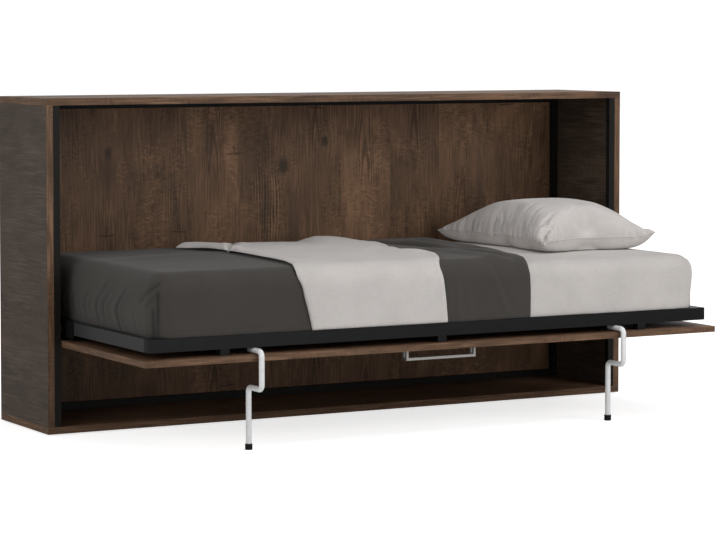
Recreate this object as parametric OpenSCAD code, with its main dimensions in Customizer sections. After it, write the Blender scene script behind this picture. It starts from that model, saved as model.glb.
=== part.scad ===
/* [Cabinet] */
// Width of the cabinet over its side boards
cab_w = 2140; // [1900:10:2400]
// Height of the cabinet above the floor
cab_h = 1050; // [1000:5:1100]
// Depth of the cabinet
cab_d = 396; // [392:2:460]
// Thickness of the top, bottom and side boards
board_t = 22; // [18:1:28]
// Thickness of the back panel
back_t = 16; // [8:1:18]
// Thickness of the glides under the cabinet
glide_t = 3; // [2:0.5:5]
// Diameter of the glides
glide_d = 26; // [20:1:40]

/* [Steel posts and rails in the cabinet] */
// Width of a post, seen from the front
post_w = 22; // [18:1:30]
// Depth of a post
post_d = 20; // [18:1:26]
// Height of a rear rail
rail_h = 22; // [20:1:40]
// Wall of a post or rail
post_wall = 2; // [1.5:0.5:3]
// Distance from the cabinet's end to a wall fixing
wall_fix_in = 270; // [150:5:400]
// Diameter of a wall fixing hole
wall_fix_d = 8.5; // [6:0.5:10]

/* [Closing panel] */
// Height of the panel's outer face above the floor when the bed is open
door_z = 275; // [260:1:300]
// Thickness of the panel
door_t = 19; // [16:1:22]
// Gap between the panel and a post
door_side_gap = 3; // [2:0.5:6]
// Gap over the panel when the bed is closed, where the legs pass
door_top_gap = 33; // [30:1:45]
// Gap under the panel when the bed is closed
door_bottom_gap = 12; // [8:1:20]

/* [Bed frame] */
// Distance from the cabinet's front to the pivot axis
pivot_in = 48; // [44:1:54]
// Height of a frame tube
tube_h = 40; // [34:1:50]
// Width of a frame tube
tube_w = 30; // [25:1:40]
// Wall of a frame tube
tube_wall = 2; // [1.5:0.5:3]
// Gap between the frame tubes and the panel
door_gap = 20; // [20:1:26]
// Distance that the panel stands out in front of the frame
door_lip = 27; // [20:1:32]
// Distance from the panel's rear edge to the frame's rear edge
frame_back = 16; // [14:1:40]
// Gap between the frame's end and a post
end_gap = 26; // [24:1:32]
// Height of a cross bar
bar_h = 25; // [20:1:27]
// Distance from the frame's end to an outer cross bar
bar_in = 250; // [220:5:300]

/* [Slats] */
// Number of slats
slat_n = 14; // [10:2:16]
// Distance from the frame's end to the middle of the first slat
slat_in = 103; // [90:1:160]
// Width of a slat
slat_w = 55; // [40:1:60]
// Thickness of a slat
slat_t = 8; // [6:1:8]

/* [Pivots] */
// Diameter of a pivot pin
pin_d = 14; // [12:1:16]
// Wall of a pivot bush
bush_wall = 2; // [1.5:0.5:3]
// Diameter of the boss that holds a bush
boss_d = 36; // [34:1:40]
// Thickness of a pivot plate on the frame
plate_t = 5; // [4:0.5:6]
// Height of a pivot plate
plate_h = 56; // [50:1:64]

/* [Gas struts] */
// Diameter of a strut's cylinder
strut_d = 20; // [16:1:20]
// Diameter of a strut's rod
strut_rod_d = 8; // [6:1:10]
// Distance from the pivot axis to a strut's lower stud
strut_crank = 80; // [70:1:85]
// Drop of the lower stud under the pivot axis
strut_drop = 5.6; // [2:0.2:10]
// Distance of the upper stud behind the cabinet's front
strut_top_y = 180; // [170:1:200]
// Height of the upper stud above the pivot axis
strut_top_h = 197; // [185:1:210]

/* [Legs] */
// Diameter of a leg's tube
leg_d = 18; // [14:1:18]
// Wall of a leg's tube
leg_wall = 1.5; // [1:0.5:3]
// Distance from the frame's end to a leg
leg_in = 350; // [320:5:440]
// Height of the middle of a leg's crank
crank_z = 190; // [150:1:200]
// Length of a leg's crank
crank_l = 87; // [60:1:110]
// Radius of a leg's bends, at the middle of the tube
bend_r = 20; // [16:1:24]
// Gap between a leg and the panel's front edge
leg_gap = 7; // [4:0.5:12]
// Diameter of a rubber foot
foot_d = 22.5; // [22:0.5:30]
// Height of a rubber foot
foot_h = 18.5; // [12:0.5:30]

/* [Handle] */
// Length of the handle
handle_l = 250; // [160:2:320]
// Width of the handle
handle_w = 28; // [20:1:36]
// Thickness of the handle's grip and posts
handle_t = 8; // [6:0.5:12]
// Height of the finger gap behind the grip
handle_gap = 25; // [20:1:35]
// Distance from the panel's front edge to the middle of the handle
handle_in = 46; // [30:1:80]

/* [Bedding] */
// Thickness of the mattress
mattress_t = 172.7; // [140:0.1:180]
// Gap between the mattress and the outside of the frame, at front and back
mattress_side = 7.5; // [2:0.5:15]
// Gap between the mattress and the outside of the frame, at the ends
mattress_end = 30; // [20:1:60]
// Radius of the mattress's upright corners
corner_r = 60; // [58:1:90]
// Radius of the mattress's top edge
edge_r = 45; // [30:1:50]
// Thickness of the fitted sheet
sheet_t = 2; // [1.5:0.1:3]
// Thickness of the folded dark cover on top of the bed
cover_t = 18.7; // [8:0.1:22]
// Thickness of the dark cover where it hangs
cover_side_t = 4; // [3:0.1:5]
// Distance from the mattress's right end to the dark cover's edge, at the front
cover_end = 642; // [500:1:800]
// Distance by which that edge runs to the right, from the front to the back
cover_skew = 150; // [0:5:150]
// Thickness of the pale throw
throw_t = 9; // [5:0.5:12]
// Length of the pillow, from front to back
pillow_l = 650; // [500:10:700]
// Width of the pillow
pillow_w = 430; // [350:10:480]
// Height of the pillow
pillow_h = 160; // [110:5:170]
// Gap between the pillow and the mattress's right end
pillow_end = 10; // [0:1:60]
// Gap between the pillow and the mattress's back
pillow_back = 10; // [0:1:60]

/* [Fasteners and fits] */
// Diameter of a wooden dowel
dowel_d = 8; // [6:1:10]
// Length of a dowel in the top or bottom board
dowel_short = 14; // [8:1:15]
// Length of a dowel in the side board
dowel_long = 26; // [20:1:40]
// Diameter of a wood screw
screw_d = 4; // [3.5:0.5:4.5]
// Diameter of a screw's head
screw_head_d = 8; // [7:0.5:9]
// Height of a screw's head
screw_head_h = 2.5; // [2:0.5:3]
// Depth of a screw in wood
screw_in = 13; // [8:0.5:15]
// Radial clearance of a turning fit
run_clear = 0.05; // [0.02:0.01:0.1]
// Radial clearance of a fixed fit
fix_clear = 0.02; // [0.01:0.01:0.05]
// Gap between layers of bedding
soft_gap = 0.3; // [0.2:0.1:0.6]

/* [Hidden] */

$fn = 48;
// Extra length of a cutting tool, so that no cut ends on a face
cut = 1;

// Half widths and heights of the cabinet
half_w = cab_w / 2;
side_in = half_w - board_t;
post_in = side_in - post_w;
floor_top = glide_t + board_t;
ceiling = cab_h - board_t;
back_y = cab_d - back_t;
rear_post_y = back_y - post_d;

// Places of the dowels, glides and post screws, from the ends of what they hold
dowel_in = 60;
glide_in = 40;
post_screw_n = 4;
post_screw_in = 80;
post_screw_pitch = (ceiling - floor_top - 2 * post_screw_in) / (post_screw_n - 1);

// Pivot axis, with the panel's outer face flush with the cabinet when the bed is closed
pivot_y = pivot_in;
pivot_z = door_z + pivot_in;

// Panel and frame, with distances in front of the cabinet's front plane as reaches
door_top = door_z + door_t;
door_reach = ceiling - door_top_gap - pivot_z - pivot_in;
door_rear = pivot_y + pivot_z - floor_top - door_bottom_gap;
door_half = post_in - door_side_gap;
frame_z = door_top + door_gap;
frame_top = frame_z + tube_h;
frame_reach = door_reach - door_lip;
frame_rear = door_rear - frame_back;
frame_half = post_in - end_gap;
front_in = -frame_reach + tube_w;
rear_in = frame_rear - tube_w;
end_in = frame_half - tube_w;

// Origin: the middle of the whole object's footprint
leg_y = -(door_reach + leg_gap + leg_d / 2);
front_y = -(leg_y - leg_d / 2 + cab_d) / 2;

// Tube end caps, and the plug that each pushes into its tube
cap_t = 2;
cap_plug = 12;
cap_clear = 0.1;

// Slat holders
holder_in = 22;
holder_wall = 4;
holder_lip = 2;
holder_clear = 0.3;
slat_pitch = 2 * (frame_half - slat_in) / (slat_n - 1);
slat_z = frame_top - holder_lip - slat_t;
slat_end = 5;

// Panel spacers
spacer_w = 30;
bar_xs = [bar_in - frame_half, 0, frame_half - bar_in];
spacer_ys = [-frame_reach + tube_w / 2, (front_in + rear_in) / 2, frame_rear - tube_w / 2];

// Pivot blocks, bushes and plates
flange_t = 8;
flange_h = 90;
bush_flange = 2.5;
bush_lip = 4;
bush_d = pin_d + 2 * bush_wall;
plate_out = frame_half + plate_t;
bush_x = plate_out + 0.5;
boss_x = bush_x + bush_flange;
pin_end = side_in - 4;
plate_front = 90;
plate_back = 117;
plate_below = 20;
plate_z = pivot_z - plate_below;
block_screw_z = 34;
block_screw_y = 18;

// Gas struts: stud centres at rest, as [y, z] before the frame's shift
lower_stud = [pivot_y + strut_crank, pivot_z - strut_drop];
upper_stud = [strut_top_y, pivot_z + strut_top_h];
closed_stud = [pivot_y - strut_drop, pivot_z - strut_crank];
strut_l = norm(upper_stud - lower_stud);
strut_stroke = norm(upper_stud - closed_stud) - strut_l;
strut_lean = atan2(upper_stud[0] - lower_stud[0], upper_stud[1] - lower_stud[1]);
eye_r = 9;
eye_w = 12;
eye_air = 3.5;
strut_x = plate_out + eye_air + eye_w / 2;
stud_d = 8;
neck = 16;
strut_wall = 2;
strut_cap = 3;
guide_l = 8;
piston_l = 8;
piston_air = 6;
piston_spare = 10;
cyl_l = strut_stroke + strut_cap + piston_air + piston_l + piston_spare + guide_l;
// Depth of the piston's top under the upper stud, with the strut pushed in
piston_at = neck + strut_cap + piston_air;
stud_flange_d = 20;
stud_flange_t = 3;
stud_air = 0.5;
stud_tail = 2;
neck_d = 10;

// Legs
leg_x = frame_half - leg_in;
leg_z = door_top + door_gap / 2;
bearing_l = 40;
bearing_gap = 12;
bearing_h = 36;
bearing_wall = 7;
bearing_y = front_in + 7;
bearing_ear = 18;
bearing_ear_t = 5;
stub_end = bearing_y + 2 * bearing_l + bearing_gap + 8;
leg_pin_d = 8;
leg_pin_h = 16;
foot_floor = 4;

// Handle
handle_y = -door_reach + handle_in;
handle_screw_d = 4;
handle_screw_in = 12;

// Bedding
mattress_l = 2 * (frame_half - mattress_end);
mattress_y = [-frame_reach + mattress_side, frame_rear - mattress_side];
mattress_w = mattress_y[1] - mattress_y[0];
mattress_top = frame_top + mattress_t;
under_r = 12;
sheet_in = soft_gap;
sheet_out = sheet_in + sheet_t;
cover_in = sheet_out + soft_gap;
cover_out = cover_in + cover_side_t;
cover_base = mattress_top + cover_in;
cover_top = cover_base + cover_t;
cover_edge_r = edge_r + cover_side_t + 8;
throw_in = cover_out + soft_gap;
throw_base = cover_top + soft_gap;
sheet_hem = frame_top + 2;
cover_hem = frame_top + 3;
throw_hem = frame_top + 4;
cover_x = mattress_l / 2 - cover_end;
// Faces of the bedding's skins round an upright corner and over the top edge
n_turn = 5;
n_round = 5;
// Corners of the throw, as distances from the bed's middle, and its back edge
throw_back_x = [-528, 172];
throw_front_x = [-530, -12];
throw_hem_x = [-457, 19];
throw_back = 111;
throw_back_y = mattress_y[1] - throw_back;

// A box between two corners
module block(a, b) {
    translate(a) cube(b - a);
}

// Shifts what is measured from the cabinet's front plane to the part's own origin
module place() {
    translate([0, front_y, 0]) children();
}

// The same piece at the right end and, mirrored, at the left
module both_ends() {
    children();
    mirror([1, 0, 0]) children();
}

module left_end() {
    mirror([1, 0, 0]) children();
}

// A rod along X, Y or Z from a start point
module rod_x(p, l, d) {
    translate(p) rotate([0, 90, 0]) cylinder(h = l, d = d);
}

module rod_y(p, l, d) {
    translate(p) rotate([-90, 0, 0]) cylinder(h = l, d = d);
}

module rod_z(p, l, d) {
    translate(p) cylinder(h = l, d = d);
}

// A wood screw that points down from its head's underside, which lies at the origin
module wood_screw(through) {
    cylinder(h = screw_head_h, d = screw_head_d);
    translate([0, 0, -through - screw_in]) cylinder(h = through + screw_in + 0.01, d = screw_d);
}

// The hole that the screw above leaves in all the pieces that it passes through
module screw_hole(through) {
    translate([0, 0, -through - screw_in - cut])
        cylinder(h = through + screw_in + cut + 0.01, d = screw_d + 2 * fix_clear);
    cylinder(h = screw_head_h + cut, d = screw_head_d + 2 * fix_clear);
}

// A rectangular tube between two corners, hollow along one axis
module tube(a, b, wall, along) {
    inset = [for (i = [0:2]) i == along ? -cut : wall];
    difference() {
        block(a, b);
        block(a + inset, b - inset);
    }
}

// A dowel crosses its joint, with the long part in the side board
module dowel(z, grow) {
    up = z > cab_h / 2;
    low = up ? dowel_long : dowel_short;
    high = up ? dowel_short : dowel_long;
    end = grow ? cut : 0;
    translate([0, 0, -low - end])
        cylinder(h = low + high + 2 * end, d = dowel_d + (grow ? 2 * fix_clear : 0));
}

module dowels(grow) {
    for (y = [dowel_in, cab_d / 2, cab_d - dowel_in]) for (z = [floor_top, ceiling])
        translate([side_in + board_t / 2, y, z]) dowel(z, grow);
}

// Places of the screws that hold a post to its side board, at the post's inner face
module post_screw_places() {
    for (y = [post_d / 2, rear_post_y + post_d / 2])
        for (k = [0:post_screw_n - 1])
            translate([side_in - post_wall, y, floor_top + post_screw_in + k * post_screw_pitch])
                rotate([0, -90, 0]) children();
}

// Places of the screws that hold a pivot block to its side board
module block_screw_places() {
    for (y = [-block_screw_y, block_screw_y]) for (z = [-block_screw_z, block_screw_z])
        translate([side_in - flange_t, pivot_y + y, pivot_z + z]) rotate([0, -90, 0]) children();
}

module right_side() {
    difference() {
        block([side_in, 0, floor_top], [half_w, cab_d, ceiling]);
        dowels(true);
        post_screw_places() screw_hole(post_wall);
        block_screw_places() screw_hole(flange_t);
        rod_x([side_in - cut, upper_stud[0], upper_stud[1]], screw_in + cut, stud_d + 2 * fix_clear);
    }
}

module left_side_board() {
    color("#4a3c32") place() left_end() right_side();
}

module right_side_board() {
    color("#4a3c32") place() right_side();
}

module top_board() {
    color("#5a493c") place() difference() {
        block([-half_w, 0, ceiling], [half_w, cab_d, cab_h]);
        both_ends() dowels(true);
    }
}

module bottom_board() {
    color("#5a493c") place() difference() {
        block([-half_w, 0, glide_t], [half_w, cab_d, floor_top]);
        both_ends() dowels(true);
    }
}

// Holes for the bolts that hold the cabinet to a wall
module wall_holes() {
    for (x = [wall_fix_in - half_w, half_w - wall_fix_in])
        for (z = [floor_top + rail_h / 2, ceiling - rail_h / 2])
            rod_y([x, rear_post_y - cut, z], post_d + back_t + 2 * cut, wall_fix_d);
}

module back_panel() {
    color("#4b3a30") place() difference() {
        block([-side_in, back_y, floor_top], [side_in, cab_d, ceiling]);
        wall_holes();
    }
}

// Upright steel posts behind the front edge and in front of the back panel
module post(y) {
    difference() {
        tube([post_in, y, floor_top], [side_in, y + post_d, ceiling], post_wall, 2);
        post_screw_places() {
            screw_hole(post_wall);
            cylinder(h = post_w, d = screw_head_d + 1);
        }
    }
}

module left_front_post() {
    color("#242322") place() left_end() post(0);
}

module right_front_post() {
    color("#242322") place() post(0);
}

module left_rear_post() {
    color("#242322") place() left_end() post(rear_post_y);
}

module right_rear_post() {
    color("#242322") place() post(rear_post_y);
}

module rear_rail(z) {
    difference() {
        tube([-post_in, rear_post_y, z], [post_in, back_y, z + rail_h], post_wall, 0);
        wall_holes();
    }
}

module rear_top_rail() {
    color("#242322") place() rear_rail(ceiling - rail_h);
}

module rear_bottom_rail() {
    color("#242322") place() rear_rail(floor_top);
}

module carcass_dowels() {
    color("#b08a5a") place() both_ends() dowels(false);
}

module post_screws() {
    color("#1c1c1c") place() both_ends() post_screw_places() wood_screw(post_wall);
}

module floor_glides() {
    color("#151515") place()
        for (x = [glide_in - half_w, -half_w / 3, half_w / 3, half_w - glide_in])
            for (y = [glide_in, cab_d - glide_in])
                translate([x, y, 0]) cylinder(h = glide_t, d = glide_d);
}

// Pivot block: a flange screwed to the side board and a boss with the bush's bore
module pivot_block() {
    difference() {
        union() {
            block([side_in - flange_t, post_d, pivot_z - flange_h / 2],
                [side_in, 2 * pivot_y - post_d, pivot_z + flange_h / 2]);
            rod_x([boss_x, pivot_y, pivot_z], side_in - boss_x, boss_d);
        }
        rod_x([boss_x - cut, pivot_y, pivot_z], side_in - boss_x + 2 * cut, bush_d + 2 * fix_clear);
        block_screw_places() screw_hole(flange_t);
    }
}

module left_pivot_block() {
    color("#1d1d1d") place() left_end() pivot_block();
}

module right_pivot_block() {
    color("#1d1d1d") place() pivot_block();
}

module pivot_bushes() {
    color("#b9b4a8") place() both_ends() difference() {
        union() {
            rod_x([bush_x, pivot_y, pivot_z], bush_flange, bush_d + 2 * bush_lip);
            rod_x([bush_x, pivot_y, pivot_z], side_in - bush_x, bush_d);
        }
        rod_x([bush_x - cut, pivot_y, pivot_z], side_in - bush_x + 2 * cut, pin_d + 2 * run_clear);
    }
}

module pivot_block_screws() {
    color("#8d8f92") place() both_ends() block_screw_places() wood_screw(flange_t);
}

// Studs on the side boards that carry the gas struts' upper eyes
module strut_wall_studs() {
    color("#8d8f92") place() both_ends() {
        rod_x([strut_x - eye_w / 2, upper_stud[0], upper_stud[1]],
            side_in + screw_in - strut_x + eye_w / 2, stud_d);
        rod_x([side_in - stud_flange_t, upper_stud[0], upper_stud[1]], stud_flange_t, stud_flange_d);
    }
}

// Places of the panel's screws, at the top of the bottom wall of the tube above
module door_screw_places(ys) {
    for (x = bar_xs) for (y = ys) translate([x, y, frame_z + tube_wall]) children();
}

// The screws pass the tube's bottom wall and the spacer, and end in the panel
module door_screw_holes(ys, top) {
    door_screw_places(ys) {
        screw_hole(tube_wall + door_gap);
        cylinder(h = top + cut, d = screw_head_d + 4);
    }
}

module long_rail(y) {
    end = frame_half - cap_t;
    difference() {
        tube([-end, y, frame_z], [end, y + tube_w, frame_top], tube_wall, 0);
        door_screw_holes([y + tube_w / 2], tube_h);
    }
}

module frame_front_rail() {
    color("#222222") place() long_rail(-frame_reach);
}

module frame_rear_rail() {
    color("#222222") place() long_rail(rear_in);
}

module end_rail() {
    tube([end_in, front_in, frame_z], [frame_half, rear_in, frame_top], tube_wall, 1);
}

module frame_left_rail() {
    color("#222222") place() left_end() end_rail();
}

module frame_right_rail() {
    color("#222222") place() end_rail();
}

module frame_cross_bars() {
    color("#222222") place() difference() {
        for (x = bar_xs)
            tube([x - tube_w / 2, front_in, frame_z], [x + tube_w / 2, rear_in, frame_z + bar_h],
                tube_wall, 1);
        door_screw_holes([spacer_ys[1]], bar_h);
    }
}

module tube_end_caps() {
    plug = tube_wall + cap_clear;
    color("#161616") place() both_ends() for (y = [-frame_reach, rear_in]) {
        block([frame_half - cap_t, y, frame_z], [frame_half, y + tube_w, frame_top]);
        block([frame_half - cap_t - cap_plug, y + plug, frame_z + plug],
            [frame_half - cap_t + 0.01, y + tube_w - plug, frame_top - plug]);
    }
}

function slat_x(i) = (i - (slat_n - 1) / 2) * slat_pitch;

// One pocket for a slat's end, on the inner side of the rail in front of it
module slat_holder(x) {
    half = slat_w / 2 + holder_clear;
    difference() {
        block([x - half - holder_wall, front_in, slat_z - holder_wall],
            [x + half + holder_wall, front_in + holder_in, frame_top]);
        block([x - half, front_in + slat_end - holder_clear, slat_z - holder_clear],
            [x + half, front_in + holder_in + cut, slat_z + slat_t + holder_clear]);
    }
}

module slat_holders() {
    middle = front_in + rear_in;
    color("#1a1a1a") place() for (i = [0:slat_n - 1]) {
        slat_holder(slat_x(i));
        translate([0, middle, 0]) mirror([0, 1, 0]) slat_holder(slat_x(i));
    }
}

module slats() {
    color("#c9a877") place() for (i = [0:slat_n - 1])
        block([slat_x(i) - slat_w / 2, front_in + slat_end, slat_z],
            [slat_x(i) + slat_w / 2, rear_in - slat_end, slat_z + slat_t]);
}

// Plate welded to the frame's end, with the pivot pin's hole and the strut's
module pivot_plate() {
    difference() {
        block([frame_half, pivot_y - plate_front, plate_z],
            [plate_out, pivot_y + plate_back, plate_z + plate_h]);
        rod_x([frame_half - cut, pivot_y, pivot_z], plate_t + 2 * cut, pin_d + 2 * fix_clear);
        rod_x([frame_half - cut, lower_stud[0], lower_stud[1]], plate_t + 2 * cut, stud_d + 1);
    }
}

module left_pivot_plate() {
    color("#1d1d1d") place() left_end() pivot_plate();
}

module right_pivot_plate() {
    color("#1d1d1d") place() pivot_plate();
}

module pivot_pins() {
    color("#9a9c9f") place() both_ends()
        rod_x([frame_half, pivot_y, pivot_z], pin_end - frame_half, pin_d);
}

// Places of the handle's posts, at the panel's outer face
module handle_posts() {
    for (x = [-1, 1]) for (y = [-1, 1])
        translate([x * (handle_l - handle_t) / 2, handle_y + y * (handle_w - handle_t) / 2, door_z])
            children();
}

// Places of the screws that hold the legs' bearings, at the top of their ears
module bearing_screw_places() {
    for (s = [-1, 1]) for (k = [0, 1]) for (e = [-1, 1])
        translate([s * leg_x + e * (leg_d / 2 + bearing_wall + bearing_ear / 2),
            bearing_y + bearing_l / 2 + k * (bearing_l + bearing_gap), door_top + bearing_ear_t])
            children();
}

module door_panel() {
    color("#554336") place() difference() {
        block([-door_half, -door_reach, door_z], [door_half, door_rear, door_top]);
        door_screw_places(spacer_ys) screw_hole(tube_wall + door_gap);
        bearing_screw_places() screw_hole(bearing_ear_t);
        handle_posts() translate([0, 0, -cut])
            cylinder(h = door_t + 2 * cut, d = handle_screw_d + 2 * fix_clear);
    }
}

module door_spacers() {
    color("#1f1f1f") place() difference() {
        for (x = bar_xs) for (y = spacer_ys)
            block([x - spacer_w / 2, y - spacer_w / 2, door_top],
                [x + spacer_w / 2, y + spacer_w / 2, frame_z]);
        door_screw_places(spacer_ys) screw_hole(tube_wall + door_gap);
    }
}

module door_screws() {
    color("#8d8f92") place() door_screw_places(spacer_ys) wood_screw(tube_wall + door_gap);
}

// Bar handle: a flat grip on four square posts
module door_handle() {
    half = [handle_l / 2, handle_w / 2];
    color("#b3ada4") place() difference() {
        union() {
            block([-half[0], handle_y - half[1], door_z - handle_gap - handle_t],
                [half[0], handle_y + half[1], door_z - handle_gap]);
            handle_posts() translate([-handle_t / 2, -handle_t / 2, -handle_gap - 0.01])
                cube([handle_t, handle_t, handle_gap + 0.01]);
        }
        handle_posts() translate([0, 0, -handle_screw_in - cut])
            cylinder(h = handle_screw_in + 2 * cut, d = handle_screw_d + 2 * fix_clear);
    }
}

module handle_screws() {
    color("#8d8f92") place() handle_posts() {
        translate([0, 0, -handle_screw_in])
            cylinder(h = handle_screw_in + door_t + 0.01, d = handle_screw_d);
        translate([0, 0, door_t]) cylinder(h = screw_head_h, d = screw_head_d);
    }
}

// Saddle bearing: it holds a leg's stub down on the panel and lets it turn
module leg_bearing() {
    bore = leg_d + 2 * run_clear;
    half = leg_d / 2 + bearing_wall;
    difference() {
        union() {
            block([-half, 0, door_top], [half, bearing_l, door_top + bearing_h]);
            block([-half - bearing_ear, 0, door_top],
                [half + bearing_ear, bearing_l, door_top + bearing_ear_t]);
        }
        rod_y([0, -cut, leg_z], bearing_l + 2 * cut, bore);
        block([-bore / 2, -cut, door_top - cut], [bore / 2, bearing_l + cut, leg_z]);
    }
}

module leg_bearings() {
    color("#1c1c1c") place() difference() {
        for (s = [-1, 1]) for (k = [0, 1])
            translate([s * leg_x, bearing_y + k * (bearing_l + bearing_gap), 0]) leg_bearing();
        bearing_screw_places() screw_hole(bearing_ear_t);
    }
}

module leg_bearing_screws() {
    color("#8d8f92") place() bearing_screw_places() wood_screw(bearing_ear_t);
}

// A quarter bend of round bar in the YZ plane, about a centre, from a start angle
module bend(centre, from, d) {
    translate([0, centre[0], centre[1]]) rotate([0, 90, 0]) rotate([0, 0, from])
        rotate_extrude(angle = 90) translate([bend_r, 0]) circle(d = d);
}

// The leg's bar: stub, front upright, crank to the back and lower upright to the floor
module leg_bar(d, over) {
    low_y = leg_y + crank_l;
    rod_y([0, leg_y + bend_r, leg_z], stub_end - leg_y - bend_r + over, d);
    bend([leg_y + bend_r, leg_z - bend_r], 180, d);
    rod_z([0, leg_y, crank_z + bend_r], leg_z - crank_z - 2 * bend_r, d);
    bend([leg_y + bend_r, crank_z + bend_r], 270, d);
    rod_y([0, leg_y + bend_r, crank_z], crank_l - 2 * bend_r, d);
    bend([low_y - bend_r, crank_z - bend_r], 90, d);
    rod_z([0, low_y, foot_floor - over], crank_z - bend_r - foot_floor + over, d);
}

module leg() {
    translate([leg_x, 0, 0]) difference() {
        leg_bar(leg_d, 0);
        leg_bar(leg_d - 2 * leg_wall, cut);
        leg_pin_hole();
    }
}

// The stop pin stands in the stub, between the two bearings
module leg_pin_hole() {
    rod_z([0, leg_pin_y(), leg_z - leg_d / 2 + leg_wall], leg_d, leg_pin_d + 2 * fix_clear);
}

function leg_pin_y() = bearing_y + bearing_l + bearing_gap / 2;

module leg_pin() {
    rod_z([leg_x, leg_pin_y(), leg_z - leg_d / 2 + leg_wall],
        leg_d / 2 - leg_wall + leg_pin_h, leg_pin_d);
}

module foot() {
    low_y = leg_y + crank_l;
    difference() {
        rod_z([leg_x, low_y, 0], foot_h, foot_d);
        rod_z([leg_x, low_y, foot_floor], foot_h, leg_d + 2 * fix_clear);
    }
}

module left_leg() {
    color("#c8c9ca") place() left_end() leg();
}

module left_foot() {
    color("#111111") place() left_end() foot();
}

module left_leg_pin() {
    color("#8d8f92") place() left_end() leg_pin();
}

module right_leg() {
    color("#c8c9ca") place() leg();
}

module right_foot() {
    color("#111111") place() foot();
}

module right_leg_pin() {
    color("#8d8f92") place() leg_pin();
}

// Moves a strut's piece, drawn downwards from the upper stud, to its place
module on_strut() {
    translate([strut_x, upper_stud[0], upper_stud[1]]) rotate([-strut_lean, 0, 0]) children();
}

// An eye for a stud along X, with its centre at the origin
module eye() {
    translate([-eye_w / 2, 0, 0]) rotate([0, 90, 0]) cylinder(h = eye_w, r = eye_r);
}

module stud_bore() {
    translate([-eye_w, 0, 0]) rotate([0, 90, 0]) cylinder(h = 2 * eye_w, d = stud_d + 2 * run_clear);
}

module strut_cylinder() {
    on_strut() difference() {
        union() {
            eye();
            translate([0, 0, -neck - 1]) cylinder(h = neck, d = neck_d);
            translate([0, 0, -neck - cyl_l]) cylinder(h = cyl_l, d = strut_d);
        }
        stud_bore();
        translate([0, 0, -neck - cyl_l + guide_l])
            cylinder(h = cyl_l - guide_l - strut_cap, d = strut_d - 2 * strut_wall);
        translate([0, 0, -neck - cyl_l - cut])
            cylinder(h = guide_l + 2 * cut, d = strut_rod_d + 2 * run_clear);
    }
}

module strut_rod() {
    on_strut() difference() {
        union() {
            translate([0, 0, -strut_l]) eye();
            translate([0, 0, -strut_l]) cylinder(h = strut_l - piston_at, d = strut_rod_d);
        }
        translate([0, 0, -strut_l]) rotate([0, 90, 0])
            cylinder(h = 2 * eye_w, d = stud_d + 2 * fix_clear, center = true);
    }
}

module strut_piston() {
    on_strut() translate([0, 0, -piston_at - piston_l]) difference() {
        cylinder(h = piston_l, d = strut_d - 2 * strut_wall - 2 * run_clear);
        translate([0, 0, -cut]) cylinder(h = piston_l + 2 * cut, d = strut_rod_d + 2 * fix_clear);
    }
}

// The lower stud stays with the rod, and stops short of the plate that it points at
module rod_stud() {
    rod_x([plate_out + stud_air, lower_stud[0], lower_stud[1]],
        strut_x + eye_w / 2 + stud_tail - plate_out - stud_air, stud_d);
}

module left_strut_cylinder() {
    color("#1b1b1b") place() left_end() strut_cylinder();
}

module left_strut_rod() {
    color("#c4c6c8") place() left_end() strut_rod();
}

module left_strut_piston() {
    color("#5c5c5c") place() left_end() strut_piston();
}

module left_rod_stud() {
    color("#8d8f92") place() left_end() rod_stud();
}

module right_strut_cylinder() {
    color("#1b1b1b") place() strut_cylinder();
}

module right_strut_rod() {
    color("#c4c6c8") place() strut_rod();
}

module right_strut_piston() {
    color("#5c5c5c") place() strut_piston();
}

module right_rod_stud() {
    color("#8d8f92") place() rod_stud();
}

// Points of the mattress's outline grown by e, counter-clockwise from the front left
function outline(e, n_long, n_end, n_turn) = let (
    x = mattress_l / 2 - corner_r,
    y0 = mattress_y[0] + corner_r,
    y1 = mattress_y[1] - corner_r,
    r = corner_r + e)
    concat(
        [for (i = [0:n_long]) [-x + 2 * x * i / n_long, y0 - r]],
        [for (i = [1:n_turn - 1]) [x, y0] + r * [sin(90 * i / n_turn), -cos(90 * i / n_turn)]],
        [for (i = [0:n_end]) [x + r, y0 + (y1 - y0) * i / n_end]],
        [for (i = [1:n_turn - 1]) [x, y1] + r * [cos(90 * i / n_turn), sin(90 * i / n_turn)]],
        [for (i = [0:n_long]) [x - 2 * x * i / n_long, y1 + r]],
        [for (i = [1:n_turn - 1]) [-x, y1] + r * [-sin(90 * i / n_turn), cos(90 * i / n_turn)]],
        [for (i = [0:n_end]) [-x - r, y1 - (y1 - y0) * i / n_end]],
        [for (i = [1:n_turn - 1]) [-x, y0] + r * [-cos(90 * i / n_turn), -sin(90 * i / n_turn)]]);

// Rows of a rounded skin as [growth, height]: up the side and over the top edge
function skin_rows(e, hem, top, r, n_side, n_round) = concat(
    [for (i = [0:n_side]) [e, hem + (top - r - hem) * i / n_side]],
    [for (i = [1:n_round]) [e - r * (1 - cos(90 * i / n_round)), top - r + r * sin(90 * i / n_round)]]);

// Folds that stand out of a skin: kind 0 is smooth, 1 wrinkles the left end, 2 drapes the front
function fold(kind, p, z, hem, top) = let (
    k = sin(180 * min(1, max(0, (z - hem + 30) / (top - hem + 30)))))
    kind == 1 && p[0] < -mattress_l / 2 + 1 ?
        [-5 * k * pow(max(0, sin(360 * (p[1] - mattress_y[0]) / 92 + 25 * sin(z))), 2), 0] :
    kind == 2 && p[1] < mattress_y[0] + 1 ?
        [0, -5 * k * pow(max(0, sin(360 * (p[0] - throw_front_x[0]) / 170 + (top - z) / 4)), 2)] :
    [0, 0];

function skin_points(rows, kind, n_long, n_end, n_turn) = [
    for (row = rows) for (p = outline(row[0], n_long, n_end, n_turn))
        let (f = fold(kind, p, row[1], rows[0][1], rows[len(rows) - 1][1]))
        [p[0] + f[0], p[1] + f[1], row[1]]];

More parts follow.
